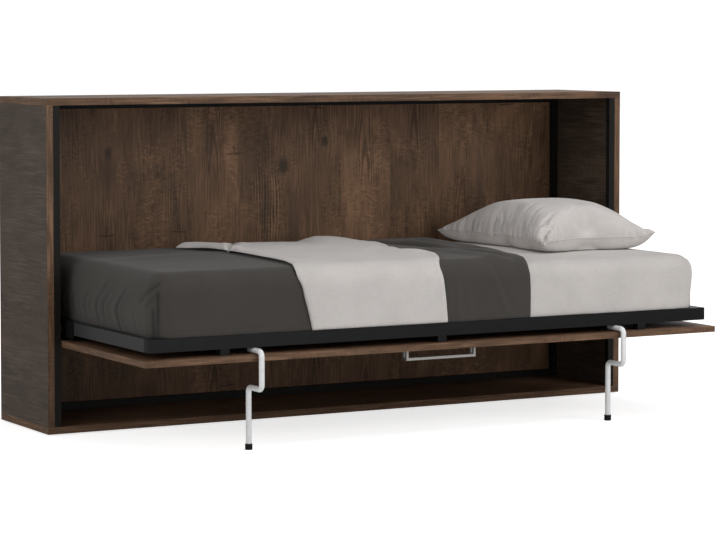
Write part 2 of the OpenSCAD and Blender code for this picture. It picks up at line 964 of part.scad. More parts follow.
function skin_faces(rows, m, start, flip) = [
    for (j = [0:rows - 2]) for (i = [0:m - 1]) let (
        a = start + j * m + i,
        b = start + j * m + (i + 1) % m,
        c = b + m,
        d = a + m)
        each flip ? [[a, b, c], [a, c, d]] : [[a, c, b], [a, d, c]]];

function fan(m, first, centre, flip) = [
    for (i = [0:m - 1]) let (a = first + i, b = first + (i + 1) % m)
        flip ? [a, b, centre] : [a, centre, b]];

// A skin of cloth between an inner and an outer surface, open below at its hem
module skin(e_in, e_out, hem, base, top, r_in, r_out, kind, n_long, n_end) {
    n_side = kind == 0 ? 1 : 4;
    outer = skin_rows(e_out, hem, top, r_out, n_side, n_round);
    inner = skin_rows(e_in, hem, base, r_in, 1, n_round);
    m = 2 * (n_long + 1) + 2 * (n_end + 1) + 4 * (n_turn - 1);
    n_outer = len(outer) * m;
    n_inner = len(inner) * m;
    middle = (mattress_y[0] + mattress_y[1]) / 2;
    points = concat(
        skin_points(outer, kind, n_long, n_end, n_turn), [[0, middle, top]],
        skin_points(inner, 0, n_long, n_end, n_turn), [[0, middle, base]]);
    faces = concat(
        skin_faces(len(outer), m, 0, false), fan(m, n_outer - m, n_outer, false),
        skin_faces(len(inner), m, n_outer + 1, true),
        fan(m, n_outer + 1 + n_inner - m, n_outer + 1 + n_inner, true),
        [for (i = [0:m - 1]) let (a = i, b = (i + 1) % m, c = n_outer + 1 + b, d = n_outer + 1 + a)
            each [[a, b, c], [a, c, d]]]);
    polyhedron(points, faces, 12);
}

module mattress() {
    m = 4 + 4 + 4 * (n_turn - 1);
    middle = (mattress_y[0] + mattress_y[1]) / 2;
    under = [for (i = [0:3])
        [-under_r * (1 - sin(30 * i)), frame_top + under_r * (1 - cos(30 * i))]];
    rows = concat(under, skin_rows(0, frame_top + 2 * under_r, mattress_top, edge_r, 1, n_round));
    last = (len(rows) - 1) * m;
    points = concat(skin_points(rows, 0, 1, 1, n_turn),
        [[0, middle, mattress_top], [0, middle, frame_top]]);
    color("#e6e3dd") place() polyhedron(points, concat(
        skin_faces(len(rows), m, 0, false), fan(m, last, len(rows) * m, false),
        fan(m, 0, len(rows) * m + 1, true)), 12);
}

module fitted_sheet() {
    color("#bcb7b2") place()
        skin(sheet_in, sheet_out, sheet_hem, mattress_top + sheet_in, mattress_top + sheet_out,
            edge_r + sheet_in, edge_r + sheet_out, 0, 1, 1);
}

// The dark cover wraps the left part of the bed, with gathered cloth round its end
module dark_cover() {
    front = mattress_y[0] - mattress_w;
    back = mattress_y[1] + mattress_w;
    color("#45433f") place() intersection() {
        skin(cover_in, cover_out, cover_hem, cover_base, cover_top,
            edge_r + cover_in, cover_edge_r, 1, 1, 44);
        linear_extrude(cover_top + cut) polygon([[-mattress_l, front], [cover_x, front],
            [cover_x, mattress_y[0] + edge_r], [cover_x + cover_skew, mattress_y[1]],
            [cover_x + cover_skew, back], [-mattress_l, back]]);
    }
}

// The pale throw lies across the dark cover and hangs over the front
module throw_plan() {
    polygon([[throw_back_x[0], throw_back_y], [throw_front_x[0], mattress_y[0] + 60],
        [throw_front_x[0], mattress_y[0] - 60], [throw_hem_x[1], mattress_y[0] - 60],
        [throw_front_x[1] + 30, mattress_y[0] + 60], [throw_back_x[1], throw_back_y]]);
}

module throw_front() {
    polygon([[throw_hem_x[0], throw_hem - cut], [throw_front_x[0], throw_base - edge_r],
        [throw_front_x[0] - 20, throw_base + 60], [throw_back_x[1], throw_base + 60],
        [throw_back_x[1], throw_base - 10], [throw_front_x[1], throw_base - edge_r],
        [throw_hem_x[1], throw_hem - cut]]);
}

module pale_throw() {
    color("#bdb8b3") place() intersection() {
        skin(throw_in, throw_in + throw_t, throw_hem, throw_base, throw_base + throw_t,
            cover_edge_r + soft_gap, cover_edge_r + throw_t, 2, 60, 1);
        translate([0, 0, throw_hem - cut]) linear_extrude(throw_base) throw_plan();
        translate([0, mattress_y[1], 0]) rotate([90, 0, 0]) linear_extrude(2 * mattress_w) throw_front();
    }
}

// Pillow: crowned between drawn-in sides, flatter below where it lies on the sheet
pillow_n = 16;
pillow_rest = mattress_top + sheet_out + soft_gap;
function pillow_u(i) = sin(90 * (2 * i / pillow_n - 1));
pillow_full = 2.6;
pillow_drop = 0.62;
function pillow_side(t) = pow(max(0, 1 - pow(abs(t), pillow_full)), pillow_drop);
function pillow_swell(u, v) = pillow_side(u) * pillow_side(v);
function pillow_xy(u, v) = [
    pillow_w / 2 * u * (1 - 0.07 * (1 - v * v)),
    pillow_l / 2 * v * (1 - 0.05 * (1 - u * u))];
function pillow_top(u, v) = 0.29 + 0.71 * pillow_swell(u, v);
function pillow_low(u, v) = max(0, 0.27 - 0.5 * pillow_swell(u, v));

module pillow() {
    n = pillow_n + 1;
    x = mattress_l / 2 - pillow_end - pillow_w / 2;
    y = mattress_y[1] - pillow_back - pillow_l / 2;
    grid = [for (j = [0:pillow_n]) for (i = [0:pillow_n]) [pillow_u(i), pillow_u(j)]];
    points = concat(
        [for (g = grid) concat(pillow_xy(g[0], g[1]), pillow_h * pillow_top(g[0], g[1]))],
        [for (g = grid) concat(pillow_xy(g[0], g[1]), pillow_h * pillow_low(g[0], g[1]))]);
    top = [for (j = [0:pillow_n - 1]) for (i = [0:pillow_n - 1]) let (a = j * n + i)
        each [[a, a + n, a + 1], [a + 1, a + n, a + n + 1]]];
    rim = concat(
        [for (i = [0:pillow_n - 1]) i],
        [for (j = [0:pillow_n - 1]) j * n + pillow_n],
        [for (i = [0:pillow_n - 1]) n * n - 1 - i],
        [for (j = [0:pillow_n - 1]) (pillow_n - j) * n]);
    under = [for (t = top) [t[0] + n * n, t[2] + n * n, t[1] + n * n]];
    side = [for (k = [0:len(rim) - 1]) let (a = rim[k], b = rim[(k + 1) % len(rim)])
        each [[a, b, b + n * n], [a, b + n * n, a + n * n]]];
    color("#c6c1bc") place() translate([x, y, pillow_rest])
        polyhedron(points, concat(top, under, side), 12);
}

left_side_board();
right_side_board();
top_board();
bottom_board();
back_panel();
left_front_post();
right_front_post();
left_rear_post();
right_rear_post();
rear_top_rail();
rear_bottom_rail();
carcass_dowels();
post_screws();
floor_glides();
left_pivot_block();
right_pivot_block();
pivot_bushes();
pivot_block_screws();
strut_wall_studs();
frame_front_rail();
frame_rear_rail();
frame_left_rail();
frame_right_rail();
frame_cross_bars();
tube_end_caps();
slat_holders();
slats();
left_pivot_plate();
right_pivot_plate();
pivot_pins();
door_panel();
door_spacers();
door_screws();
door_handle();
handle_screws();
leg_bearings();
leg_bearing_screws();
left_leg();
left_foot();
left_leg_pin();
right_leg();
right_foot();
right_leg_pin();
left_strut_cylinder();
left_strut_rod();
left_strut_piston();
left_rod_stud();
right_strut_cylinder();
right_strut_rod();
right_strut_piston();
right_rod_stud();
mattress();
fitted_sheet();
dark_cover();
pale_throw();
pillow();
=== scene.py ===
"""Horizontal fold-down wall bed, shown open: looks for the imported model's bodies.

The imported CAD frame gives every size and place. Each sub-assembly is a class that dresses its
CAD nodes or replaces them with a fuller piece, and says which body the piece rides on.
"""

import logging
import math
from dataclasses import dataclass
from enum import Enum
from typing import Callable, Iterable, Optional, Sequence, Union

import bmesh
import bpy
import numpy as np
from mathutils import Matrix, Vector, noise
from mathutils.kdtree import KDTree


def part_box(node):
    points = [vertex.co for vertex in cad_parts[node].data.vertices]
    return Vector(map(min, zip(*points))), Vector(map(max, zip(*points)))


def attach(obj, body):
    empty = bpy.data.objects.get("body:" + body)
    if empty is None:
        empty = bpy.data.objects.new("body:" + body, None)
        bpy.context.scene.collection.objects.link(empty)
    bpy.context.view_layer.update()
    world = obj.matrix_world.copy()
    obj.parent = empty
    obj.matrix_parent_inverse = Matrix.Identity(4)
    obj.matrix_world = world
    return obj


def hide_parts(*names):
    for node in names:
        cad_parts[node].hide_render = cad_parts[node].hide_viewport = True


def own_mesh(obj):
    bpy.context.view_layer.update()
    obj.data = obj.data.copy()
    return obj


log = logging.getLogger("wall_bed")

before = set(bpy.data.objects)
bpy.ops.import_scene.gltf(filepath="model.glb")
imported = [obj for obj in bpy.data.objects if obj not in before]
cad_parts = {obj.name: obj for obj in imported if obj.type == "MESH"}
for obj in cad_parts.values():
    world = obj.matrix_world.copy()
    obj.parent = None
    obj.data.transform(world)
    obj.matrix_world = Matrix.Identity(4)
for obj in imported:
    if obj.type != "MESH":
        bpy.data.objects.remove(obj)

Colour = tuple[float, float, float]
Point = tuple[float, float, float]
Look = dict[str, bpy.types.Material]
Feeds = dict[Union[int, str], object]
Edge = Callable[[np.ndarray], np.ndarray]

TURN = 2.0 * math.pi
CLOSE = 1e-6  # metres within which two places are the same
TINY = 1e-9  # keeps a division away from zero
FLAT, SMOOTH, SHARP = 0.5, 40.0, 50.0  # degrees: edges that vanish, that shade smooth and that are eased
FACING = 0.6  # the least share of a face's normal along the way that it faces
WHITE = (1.0, 1.0, 1.0, 1.0)


class Axis(Enum):
    """A row axis, used for the run of a wood's grain or of a brushed finish."""

    X = 0
    Y = 1
    Z = 2


class Weave(Enum):
    """How a cloth is woven."""

    PLAIN = "plain"
    SATEEN = "sateen"
    TICKING = "ticking"


# Node graphs -------------------------------------------------------------------------------


class Value:
    """A result in a node tree, on which arithmetic adds Math nodes."""

    def __init__(self, nodes: "Nodes", socket: bpy.types.NodeSocket) -> None:
        """Keep the output and the tree that it belongs to."""
        self.nodes, self.socket = nodes, socket

    def __add__(self, other: object) -> "Value":
        """Add a value or a number."""
        return self.nodes.math("ADD", self, other)

    def __sub__(self, other: object) -> "Value":
        """Subtract a value or a number."""
        return self.nodes.math("SUBTRACT", self, other)

    def __rsub__(self, other: object) -> "Value":
        """Subtract this value from a number."""
        return self.nodes.math("SUBTRACT", other, self)

    def __mul__(self, other: object) -> "Value":
        """Multiply by a value or a number."""
        return self.nodes.math("MULTIPLY", self, other)

    def __truediv__(self, other: object) -> "Value":
        """Divide by a value or a number."""
        return self.nodes.math("DIVIDE", self, other)

    def __pow__(self, other: object) -> "Value":
        """Raise to a power."""
        return self.nodes.math("POWER", self, other)

    def __abs__(self) -> "Value":
        """Drop the sign."""
        return self.nodes.math("ABSOLUTE", self)


class Nodes:
    """A node tree with short calls for its nodes and links."""

    def __init__(self, tree: bpy.types.NodeTree) -> None:
        """Keep the tree that the nodes go into."""
        self.tree = tree

    def feed(self, socket: bpy.types.NodeSocket, value: object) -> None:
        """Give an input a link or a constant.

        Args:
            socket: The input.
            value: A value, another node's output, or a constant.
        """
        value = value.socket if isinstance(value, Value) else value
        if isinstance(value, bpy.types.NodeSocket):
            self.tree.links.new(value, socket)
        else:
            socket.default_value = value

    def add(self, kind: str, feeds: Optional[Feeds] = None, **settings: object) -> bpy.types.Node:
        """Add a node, set its properties and feed its inputs.

        Args:
            kind: The node's type.
            feeds: Links or constants by input name or number.
            **settings: Properties of the node.

        Returns:
            The node.
        """
        made = self.tree.nodes.new(kind)
        for key, value in settings.items():
            setattr(made, key, value)
        for key, value in (feeds or {}).items():
            self.feed(made.inputs[key], value)
        return made

    def get(self, kind: str, feeds: Optional[Feeds] = None, output: Union[int, str] = 0, **settings: object) -> Value:
        """Add a node and read one of its outputs.

        Args:
            kind: The node's type.
            feeds: Links or constants by input name or number.
            output: The output's name or number.
            **settings: Properties of the node.

        Returns:
            The output.
        """
        return Value(self, self.add(kind, feeds, **settings).outputs[output])

    def math(self, operation: str, *values: object) -> Value:
        """Calculate with one Math node.

        Args:
            operation: The node's operation.
            *values: Its inputs.

        Returns:
            The result.
        """
        return self.get("ShaderNodeMath", dict(enumerate(values)), operation=operation)

    def join(self, x: object = 0.0, y: object = 0.0, z: object = 0.0) -> Value:
        """Join three values to a vector.

        Args:
            x: The first one.
            y: The second one.
            z: The third one.

        Returns:
            The vector.
        """
        return self.get("ShaderNodeCombineXYZ", {0: x, 1: y, 2: z})

    def parts(self, vector: object) -> list[Value]:
        """Split a vector.

        Args:
            vector: The vector.

        Returns:
            Its three values.
        """
        return [Value(self, out) for out in self.add("ShaderNodeSeparateXYZ", {0: vector}).outputs]


class Graph(Nodes):
    """A material's node graph."""

    def __init__(self, name: str) -> None:
        """Start a material with a Principled surface.

        Args:
            name: The material's name.
        """
        self.material = bpy.data.materials.new(name)
        self.material.use_nodes = True
        super().__init__(self.material.node_tree)
        self.surface = self.tree.nodes["Principled BSDF"]
        coords = self.add("ShaderNodeTexCoord")
        self.place, self.cut = coords.outputs["Object"], coords.outputs["UV"]

    def noise(
        self, vector: object, scale: Union[float, Point], detail: float = 4.0, rough: float = 0.55, twist: float = 0.0
    ) -> Value:
        """Read a noise texture.

        Args:
            vector: Where it is read.
            scale: Its scale, one for all axes or one for each.
            detail: How many octaves it has.
            rough: How strong the fine octaves are.
            twist: Its distortion.

        Returns:
            Its value, about 0.5.
        """
        if isinstance(scale, tuple):
            feeds = {0: vector, 1: scale, 2: (0.0, 0.0, 0.0)}
            vector, scale = self.get("ShaderNodeVectorMath", feeds, operation="MULTIPLY_ADD"), 1.0
        feeds = {"Vector": vector, "Scale": scale, "Detail": detail, "Roughness": rough, "Distortion": twist}
        return self.get("ShaderNodeTexNoise", feeds)

    def ramp(self, value: object, stops: Sequence[tuple[float, Colour]]) -> Value:
        """Turn a value into a colour.

        Args:
            value: The value.
            stops: Places from 0 to 1 with their colours.

        Returns:
            The colour.
        """
        made = self.add("ShaderNodeValToRGB", {0: value})
        band = made.color_ramp
        while len(band.elements) < len(stops):
            band.elements.new(0.5)
        for element, (at, colour) in zip(band.elements, stops):
            element.position = at
            element.color = (*colour, 1.0)
        return Value(self, made.outputs[0])

    def span(self, value: object, low: float, high: float, to_low: float = 0.0, to_high: float = 1.0) -> Value:
        """Map one range of a value onto another, clamped and eased.

        Args:
            value: The value.
            low: The range's start.
            high: The range's end.
            to_low: What the start becomes.
            to_high: What the end becomes.

        Returns:
            The mapped value.
        """
        feeds = {"Value": value, "From Min": low, "From Max": high, "To Min": to_low, "To Max": to_high}
        return self.get("ShaderNodeMapRange", feeds, interpolation_type="SMOOTHSTEP")

    def blend(self, share: object, first: object, second: Colour) -> Value:
        """Mix a colour into another.

        Args:
            share: How much of the second one shows.
            first: The first colour.
            second: The second colour.

        Returns:
            The mixed colour.
        """
        return self.get("ShaderNodeMix", {0: share, 6: first, 7: (*second, 1.0)}, 2, data_type="RGBA", blend_type="MIX")

    def bump(self, height: object, strength: float, depth: float) -> None:
        """Raise the surface by a height, on top of what is raised already.

        Args:
            height: The height, as a value.
            strength: The bump's strength.
            depth: How many metres a height of one stands for.
        """
        made = self.add("ShaderNodeBump", {"Strength": strength, "Distance": depth, "Height": height})
        normal = self.surface.inputs["Normal"]
        if normal.links:
            self.feed(made.inputs["Normal"], normal.links[0].from_socket)
        self.feed(normal, made.outputs[0])

    def finish(self, colour: object, rough: object, metal: float = 0.0, **fixed: object) -> None:
        """Set the surface's main inputs.

        Args:
            colour: The base colour, a value or three numbers.
            rough: The roughness, a value or a number.
            metal: How metallic it is.
            **fixed: Other inputs of the Principled node, with spaces written as underscores.
        """
        colour = (*colour, 1.0) if isinstance(colour, tuple) else colour
        feeds = {"Base Color": colour, "Roughness": rough, "Metallic": metal, **fixed}
        for key, value in feeds.items():
            self.feed(self.surface.inputs[key.replace("_", " ")], value)


# Finishes ----------------------------------------------------------------------------------


@dataclass(frozen=True)
class Finish:
    """A material's name and main colour."""

    name: str
    colour: Colour

    def material(self) -> bpy.types.Material:
        """Build the material.

        Returns:
            The material.
        """
        g = Graph(self.name)
        self.paint(g)
        return g.material

    def paint(self, g: Graph) -> None:
        """Lay the finish on its graph."""
        raise NotImplementedError

    def tint(self, g: Graph, value: object, *stops: tuple[float, float], lift: float = 0.0) -> Value:
        """Let a value make the colour darker and lighter.

        Args:
            g: The graph.
            value: The value.
            *stops: Places from 0 to 1, each with a factor on the colour.
            lift: What the last stop's colour gets on top.

        Returns:
            The tinted colour.
        """
        last = stops[-1][0]
        lifts = [lift if at == last else 0.0 for at, _ in stops]
        return g.ramp(value, [
            (at, tuple(min(1.0, c * share + more) for c in self.colour)) for (at, share), more in zip(stops, lifts)
        ])


@dataclass(frozen=True)
class SmokedOak(Finish):
    """Dark smoked oak decor on board: planks, pore lines, flames, soft knots and short cracks."""

    grain: Axis
    across: Axis
    plank: float = 0.195
    contrast: float = 1.0
    figure: float = 1.0
    lines: float = 1.0
    seed: float = 0.0
    rough: float = 0.50
    sparse: float = 0.58
    knot_size: tuple[float, float] = (0.017, 0.026)
    knots: tuple[tuple[float, float, float], ...] = ()
    flames: tuple[tuple[float, float, float, float], ...] = ()
    smudges: tuple[tuple[float, float, float, float], ...] = ()
    cracks: tuple[tuple[float, float], ...] = ()

    def shade(self, share: float, warm: float = 0.0) -> Colour:
        """Give the wood's colour made lighter or darker.

        Args:
            share: The factor on its colour.
            warm: How much redder it turns.

        Returns:
            The colour.
        """
        red, green, blue = self.colour
        return (red * share * (1.0 + warm), green * share, blue * share * (1.0 - warm))

    def spots(
        self, g: Graph, side: Value, along: Value, cells: tuple[float, float], seed: float, share: float
    ) -> tuple[Value, Value, Value]:
        """Scatter places over the wood.

        Args:
            g: The graph.
            side: The place across the grain.
            along: The place along it.
            cells: How many cells there are to a metre, across and along.
            seed: Shifts the cells.
            share: The share of cells that is left out.

        Returns:
            The distance across and along from the nearest place, and whether its cell is chosen.
        """
        cell = g.join(side * cells[0] + seed, along * cells[1] + seed * 1.7)
        feeds = {"Vector": cell, "Scale": 1.0, "Randomness": 0.8}
        near = g.add("ShaderNodeTexVoronoi", feeds, feature="F1", voronoi_dimensions="2D")
        gap = g.get("ShaderNodeVectorMath", {0: cell, 1: near.outputs["Position"]}, operation="SUBTRACT")
        pick = g.get("ShaderNodeSeparateColor", {0: near.outputs["Color"]})
        wide, long, _ = g.parts(gap)
        return wide / cells[0], long / cells[1], g.math("GREATER_THAN", pick, share)

    def far(self, g: Graph, side: Value, along: Value, half_wide: float, half_long: float) -> Value:
        """Measure how far outside an oval a place is: 1 on its line.

        Args:
            g: The graph.
            side: The distance from its middle across the grain.
            along: The distance along it.
            half_wide: Half of the oval's width.
            half_long: Half of its length.

        Returns:
            The share of the oval's size.
        """
        return g.math("SQRT", (side / half_wide) ** 2.0 + (along / half_long) ** 2.0)

    def split(self, g: Graph, side: Value, along: Value, shake: Value, bow: Value) -> Value:
        """Draw one crack: a short line across the grain with a squiggle along it.

        Args:
            g: The graph.
            side: The distance from its middle across the grain.
            along: The distance along it.
            shake: How the squiggle wanders.
            bow: How the short line wanders.

        Returns:
            How deep the crack is there, from 0 to 1.
        """
        level = g.span(abs(along + bow), 0.0034, 0.0012) * g.span(abs(side), 0.036, 0.020)
        upright = g.span(abs(side + shake), 0.0038, 0.0012) * g.span(abs(along - 0.012), 0.026, 0.010)
        return g.math("MAXIMUM", level, upright * 0.7)

    def paint(self, g: Graph) -> None:
        """Lay the finish on its graph."""
        axes = g.parts(g.place)
        along, side = axes[self.grain.value], axes[self.across.value]
        depth = axes[3 - self.grain.value - self.across.value]
        # One number for each plank, which shifts its grain and tone
        row = (side + (20.0 + self.seed)) / self.plank
        tone = g.get("ShaderNodeTexWhiteNoise", {"W": g.math("FLOOR", row)}, "Value", noise_dimensions="1D")
        from_middle = g.math("FRACT", row) - 0.5
        run = along + tone * (9.1 + self.seed)
        # The grain bends round soft knots
        x, y, chosen = self.spots(g, side, along, (3.4, 1.7), 4.3 + self.seed, self.sparse)
        knot_far = (1.0 - chosen) * 30.0 + self.far(g, x, y, *self.knot_size)
        push = g.math("SIGN", x) * g.span(knot_far, 4.5, 0.6)
        for at_side, at_along, size in self.knots:
            off = side - at_side
            here = self.far(g, off, along - at_along, *(half * size for half in self.knot_size))
            push = g.math("SIGN", off) * g.span(here, 4.5, 0.6) + push
            knot_far = g.math("MINIMUM", knot_far, here)
        uneven = (g.noise(g.place, 60.0, 3.0) - 0.5) * 1.1
        knot = g.span(knot_far + uneven, 1.45, 0.35)
        across = side + push * (-0.010 * self.figure) + tone * 3.7
        wood = g.join(across, run, depth * 0.6)
        cloud = g.noise(wood, (6.0, 3.2, 3.0), 5.0, 0.62, 0.9)
        streak = g.noise(wood, (42.0, 2.6, 9.0), 3.0, 0.55, 0.5)
        shadow = g.span(g.noise(wood, (13.0, 2.2, 4.0), 3.0, 0.6, 0.8), 0.57, 0.72)
        line_room = g.span(g.noise(wood, (9.0, 3.0, 3.0), 2.0, 0.5), 0.36, 0.60, 0.25)
        light_line = g.span(g.noise(wood, (215.0, 7.0, 30.0), 1.0, 0.5, 0.2), 0.50, 0.60) * line_room
        dark_line = g.span(g.noise(wood, (150.0, 9.0, 24.0), 2.0, 0.5, 0.2), 0.55, 0.66)
        fibre = g.noise(wood, (420.0, 24.0, 60.0), 4.0, 0.65, 0.1)
        # Rays: short wavy flecks across the grain, in patches
        patches = g.span(g.noise(wood, (6.0, 4.5, 3.0), 2.0, 0.5), 0.42, 0.58)
        wavy = run + (g.noise(wood, (26.0, 7.0, 3.0), 2.0, 0.5) - 0.5) * 0.05
        rays = (g.noise(g.join(across, wavy), (38.0, 118.0, 30.0), 2.0, 0.5) - 0.5) * patches
        # Flames: nested arches round the middle of some planks, and at given places
        sway = (g.noise(wood, (9.0, 4.0, 3.0), 3.0, 0.5) - 0.5) * 0.030
        arch_at = from_middle * self.plank + sway
        rings = g.math("SINE", (run * 5.0 + arch_at ** 2.0 * 2300.0) * TURN)
        some = g.span(g.noise(wood, (0.01, 2.1, 0.01), 1.0), 0.50, 0.60)
        flame = g.span(rings, -0.1, 0.9) * (g.span(abs(arch_at), 0.050, 0.024) * some)
        waves = []
        for middle, half, bottom, over in self.flames:
            off = sway * 0.8 + side - middle
            bulge = (along - (bottom + over) / 2) ** 2.0 * 0.45
            ends = g.span(along, bottom - 0.03, bottom + 0.02) * g.span(along, over + 0.03, over - 0.02)
            ripple = g.math("SINE", (off + bulge) * (TURN / 0.0105))
            waves.append((ripple * (ends * g.span(abs(off), half, half * 0.6)), 0.34))
        for at_side, at_along, half_wide, half_long in self.smudges:
            here = self.far(g, side - at_side, along - at_along, half_wide, half_long)
            shadow = g.math("MAXIMUM", shadow, g.span(here + uneven, 1.35, 0.25))
        x, y, chosen = self.spots(g, side, along, (2.6, 2.4), 9.1 + self.seed, 0.66)
        shake, bow = (g.noise(g.place, 70.0, 3.0) - 0.5) * 0.016, (g.noise(g.place, 25.0, 1.0) - 0.5) * 0.012
        crack = self.split(g, x, y, shake, bow) * chosen
        for at_side, at_along in self.cracks:
            crack = g.math("MAXIMUM", crack, self.split(g, side - at_side, along - at_along, shake, bow))
        value = (cloud - 0.5) * 1.45
        for what, strength in ((streak - 0.5, 0.20), (tone - 0.5, 0.14), (fibre - 0.5, 0.60), (rays, 1.05), *waves):
            value = what * strength + value
        stops = ((0.12, 0.42), (0.42, 0.84), (0.60, 1.12), (0.90, 2.0))
        colour = g.ramp(value * self.contrast + 0.5, [(at, self.shade(share)) for at, share in stops])
        for what, strength, over in (
            (light_line, 0.78 * self.lines, self.shade(1.95, -0.03)),
            (dark_line, 0.40 * self.lines, self.shade(0.50, 0.02)),
            (shadow, 0.42, (0.0270, 0.0185, 0.0140)),
            (flame, 0.62 * self.figure, self.shade(0.34, 0.04)),
            (knot, 0.74 * self.figure, (0.0190, 0.0160, 0.0115)),
            (crack, 0.72 * self.figure, self.shade(0.20, 0.1)),
            (g.span(abs(from_middle), 0.494, 0.499), 0.25 * self.figure, self.shade(0.3)),
        ):
            colour = g.blend(what * strength, colour, over)
        g.bump(fibre - (dark_line * 0.6 + crack), 0.40, 0.0005)
        g.finish(colour, fibre * 0.20 + (self.rough - 0.10), Specular_IOR_Level=0.15)


@dataclass(frozen=True)
class PowderCoat(Finish):
    """Powder coat on steel: a fine orange-peel texture with a soft gloss."""

    rough: float = 0.42
    peel: float = 0.25
    shine: float = 0.1

    def paint(self, g: Graph) -> None:
        """Lay the finish on its graph."""
        grains, wear = g.noise(g.place, 1500.0, 3.0, 0.6), g.noise(g.place, 9.0, 5.0, 0.6)
        colour = self.tint(g, grains * 0.4 + wear * 0.6, (0.3, 0.86), (0.7, 1.16))
        g.bump(grains, self.peel, 0.0002)
        g.finish(colour, wear * 0.16 + (self.rough - 0.08), Specular_IOR_Level=self.shine)


@dataclass(frozen=True)
class BrushedMetal(Finish):
    """Bare metal with fine lines along one axis."""

    run: Axis
    rough: float = 0.3
    line: float = 0.12

    def paint(self, g: Graph) -> None:
        """Lay the finish on its graph."""
        scale = tuple(14.0 if axis is self.run else 1400.0 for axis in Axis)
        lines, smear = g.noise(g.place, scale, 3.0, 0.7), g.noise(g.place, 22.0, 4.0, 0.6)
        colour = self.tint(g, lines * 0.6 + smear * 0.4, (0.3, 0.82), (0.7, 1.12))
        g.bump(lines, self.line, 0.0001)
        g.finish(colour, lines * 0.18 + (self.rough - 0.09), 1.0)


@dataclass(frozen=True)
class ZincPlate(Finish):
    """Zinc-plated fasteners: pale, slightly clouded, with small scuffs."""

    def paint(self, g: Graph) -> None:
        """Lay the finish on its graph."""
        cloud, scuff = g.noise(g.place, 60.0, 4.0, 0.6), g.noise(g.place, (300.0, 1200.0, 300.0), 2.0, 0.5)
        colour = self.tint(g, cloud * 0.7 + scuff * 0.3, (0.35, 0.75), (0.62, 1.0))
        g.bump(scuff, 0.1, 0.0001)
        g.finish(colour, cloud * 0.25 + 0.22, 1.0)


@dataclass(frozen=True)
class Enamel(Finish):
    """Smooth stove enamel on the legs' tubes."""

    rough: float = 0.28

    def paint(self, g: Graph) -> None:
        """Lay the finish on its graph."""
        cloud = g.noise(g.place, 35.0, 3.0, 0.5)
        colour = self.tint(g, cloud, (0.35, 0.93), (0.65, 1.0))
        g.bump(g.noise(g.place, 420.0, 2.0, 0.5), 0.08, 0.0002)
        g.finish(colour, cloud * 0.10 + (self.rough - 0.05), Coat_Weight=0.3, Coat_Roughness=0.12)


@dataclass(frozen=True)
class Moulded(Finish):
    """Moulded plastic or rubber with a fine spark-eroded grain."""

    rough: float = 0.5
    grain: float = 900.0

    def paint(self, g: Graph) -> None:
        """Lay the finish on its graph."""
        dust = g.noise(g.place, 30.0, 5.0, 0.65)
        colour = self.tint(g, dust, (0.35, 0.8), (0.70, 1.25), lift=0.002)
        g.bump(g.noise(g.place, self.grain, 2.0, 0.5), 0.25, 0.0002)
        g.finish(colour, dust * 0.2 + (self.rough - 0.1), Specular_IOR_Level=0.12)


@dataclass(frozen=True)
class Beech(Finish):
    """Pale beech ply for the slats and dowels: short flecks along the grain."""

    grain: Axis

    def paint(self, g: Graph) -> None:
        """Lay the finish on its graph."""
        fibre_scale = tuple(5.0 if axis is self.grain else 210.0 for axis in Axis)
        fleck_scale = tuple(130.0 if axis is self.grain else 700.0 for axis in Axis)
        fibre = g.noise(g.place, fibre_scale, 4.0, 0.6, 0.2)
        fleck = g.span(g.noise(g.place, fleck_scale, 1.0), 0.60, 0.68)
        colour = g.ramp(fibre, [(0.3, self.colour), (0.7, (0.62, 0.44, 0.27))])
        g.bump(fibre, 0.2, 0.0003)
        g.finish(g.blend(fleck * 0.4, colour, (0.30, 0.17, 0.085)), fibre * 0.2 + 0.36)


@dataclass(frozen=True)
class Cloth(Finish):
    """Woven cloth, whose threads follow the piece's own flat pattern in metres."""

    weave: Weave = Weave.PLAIN
    threads: float = 1300.0
    rough: float = 0.85
    fuzz: float = 0.3
    gathers: float = 0.0
    # Whether the colour is darkened by painted shade along creases, read from a point attribute
    shade_in_creases: bool = False

    def paint(self, g: Graph) -> None:
        """Lay the finish on its graph."""
        u, v, _ = g.parts(g.cut)
        warp = g.math("SINE", u * (self.threads * math.pi))
        if self.weave is Weave.SATEEN:
            twill = g.math("SINE", (u + v * 0.5) * (self.threads * math.pi * 0.5))
            height = twill * 0.5 + warp * 0.5
        else:
            height = warp * g.math("SINE", v * (self.threads * math.pi))
        slub, slub_2 = (g.noise(g.cut, scale, 3.0, 0.6) for scale in ((1100.0, 30.0, 1.0), (30.0, 1100.0, 1.0)))
        cloud, lint = g.noise(g.cut, 7.0, 4.0, 0.55), g.noise(g.cut, 160.0, 4.0, 0.65)
        tone = slub * 0.3 + slub_2 * 0.3 + (cloud * 0.25 + lint * 0.15)
        colour = self.tint(g, tone, (0.32, 0.80), (0.68, 1.20))
        if self.weave is Weave.TICKING:
            stripe = g.span(g.math("SINE", v * 260.0), 0.72, 0.86)
            colour = g.blend(stripe * 0.6, colour, (0.30, 0.33, 0.38))
        if self.gathers:
            fold = g.noise(g.cut, (7.0, 62.0, 1.0), 2.0, 0.5, 0.6)
            room = g.span(u, 0.150, 0.010) * g.span(g.noise(g.cut, (3.0, 9.0, 1.0), 2.0, 0.5), 0.38, 0.62, 0.3)
            g.bump(abs(fold - 0.5) * room, self.gathers, 0.030)
        # Painted shade: a point attribute darkens the colour along the creases and pleats, standing for the shade that
        # light doesn't reach into
        if self.shade_in_creases:
            painted_shade = g.get("ShaderNodeAttribute", output="Fac", attribute_name="crease")
            colour = g.blend(painted_shade * 0.75, colour, tuple(c * 0.12 for c in self.colour))
        g.bump(height * 0.5 + (slub + slub_2) * 0.8, 0.3, 0.0004)
        rough = lint * 0.1 + (self.rough - 0.05)
        g.finish(colour, rough, Sheen_Weight=self.fuzz, Sheen_Roughness=0.45, Specular_IOR_Level=0.2)


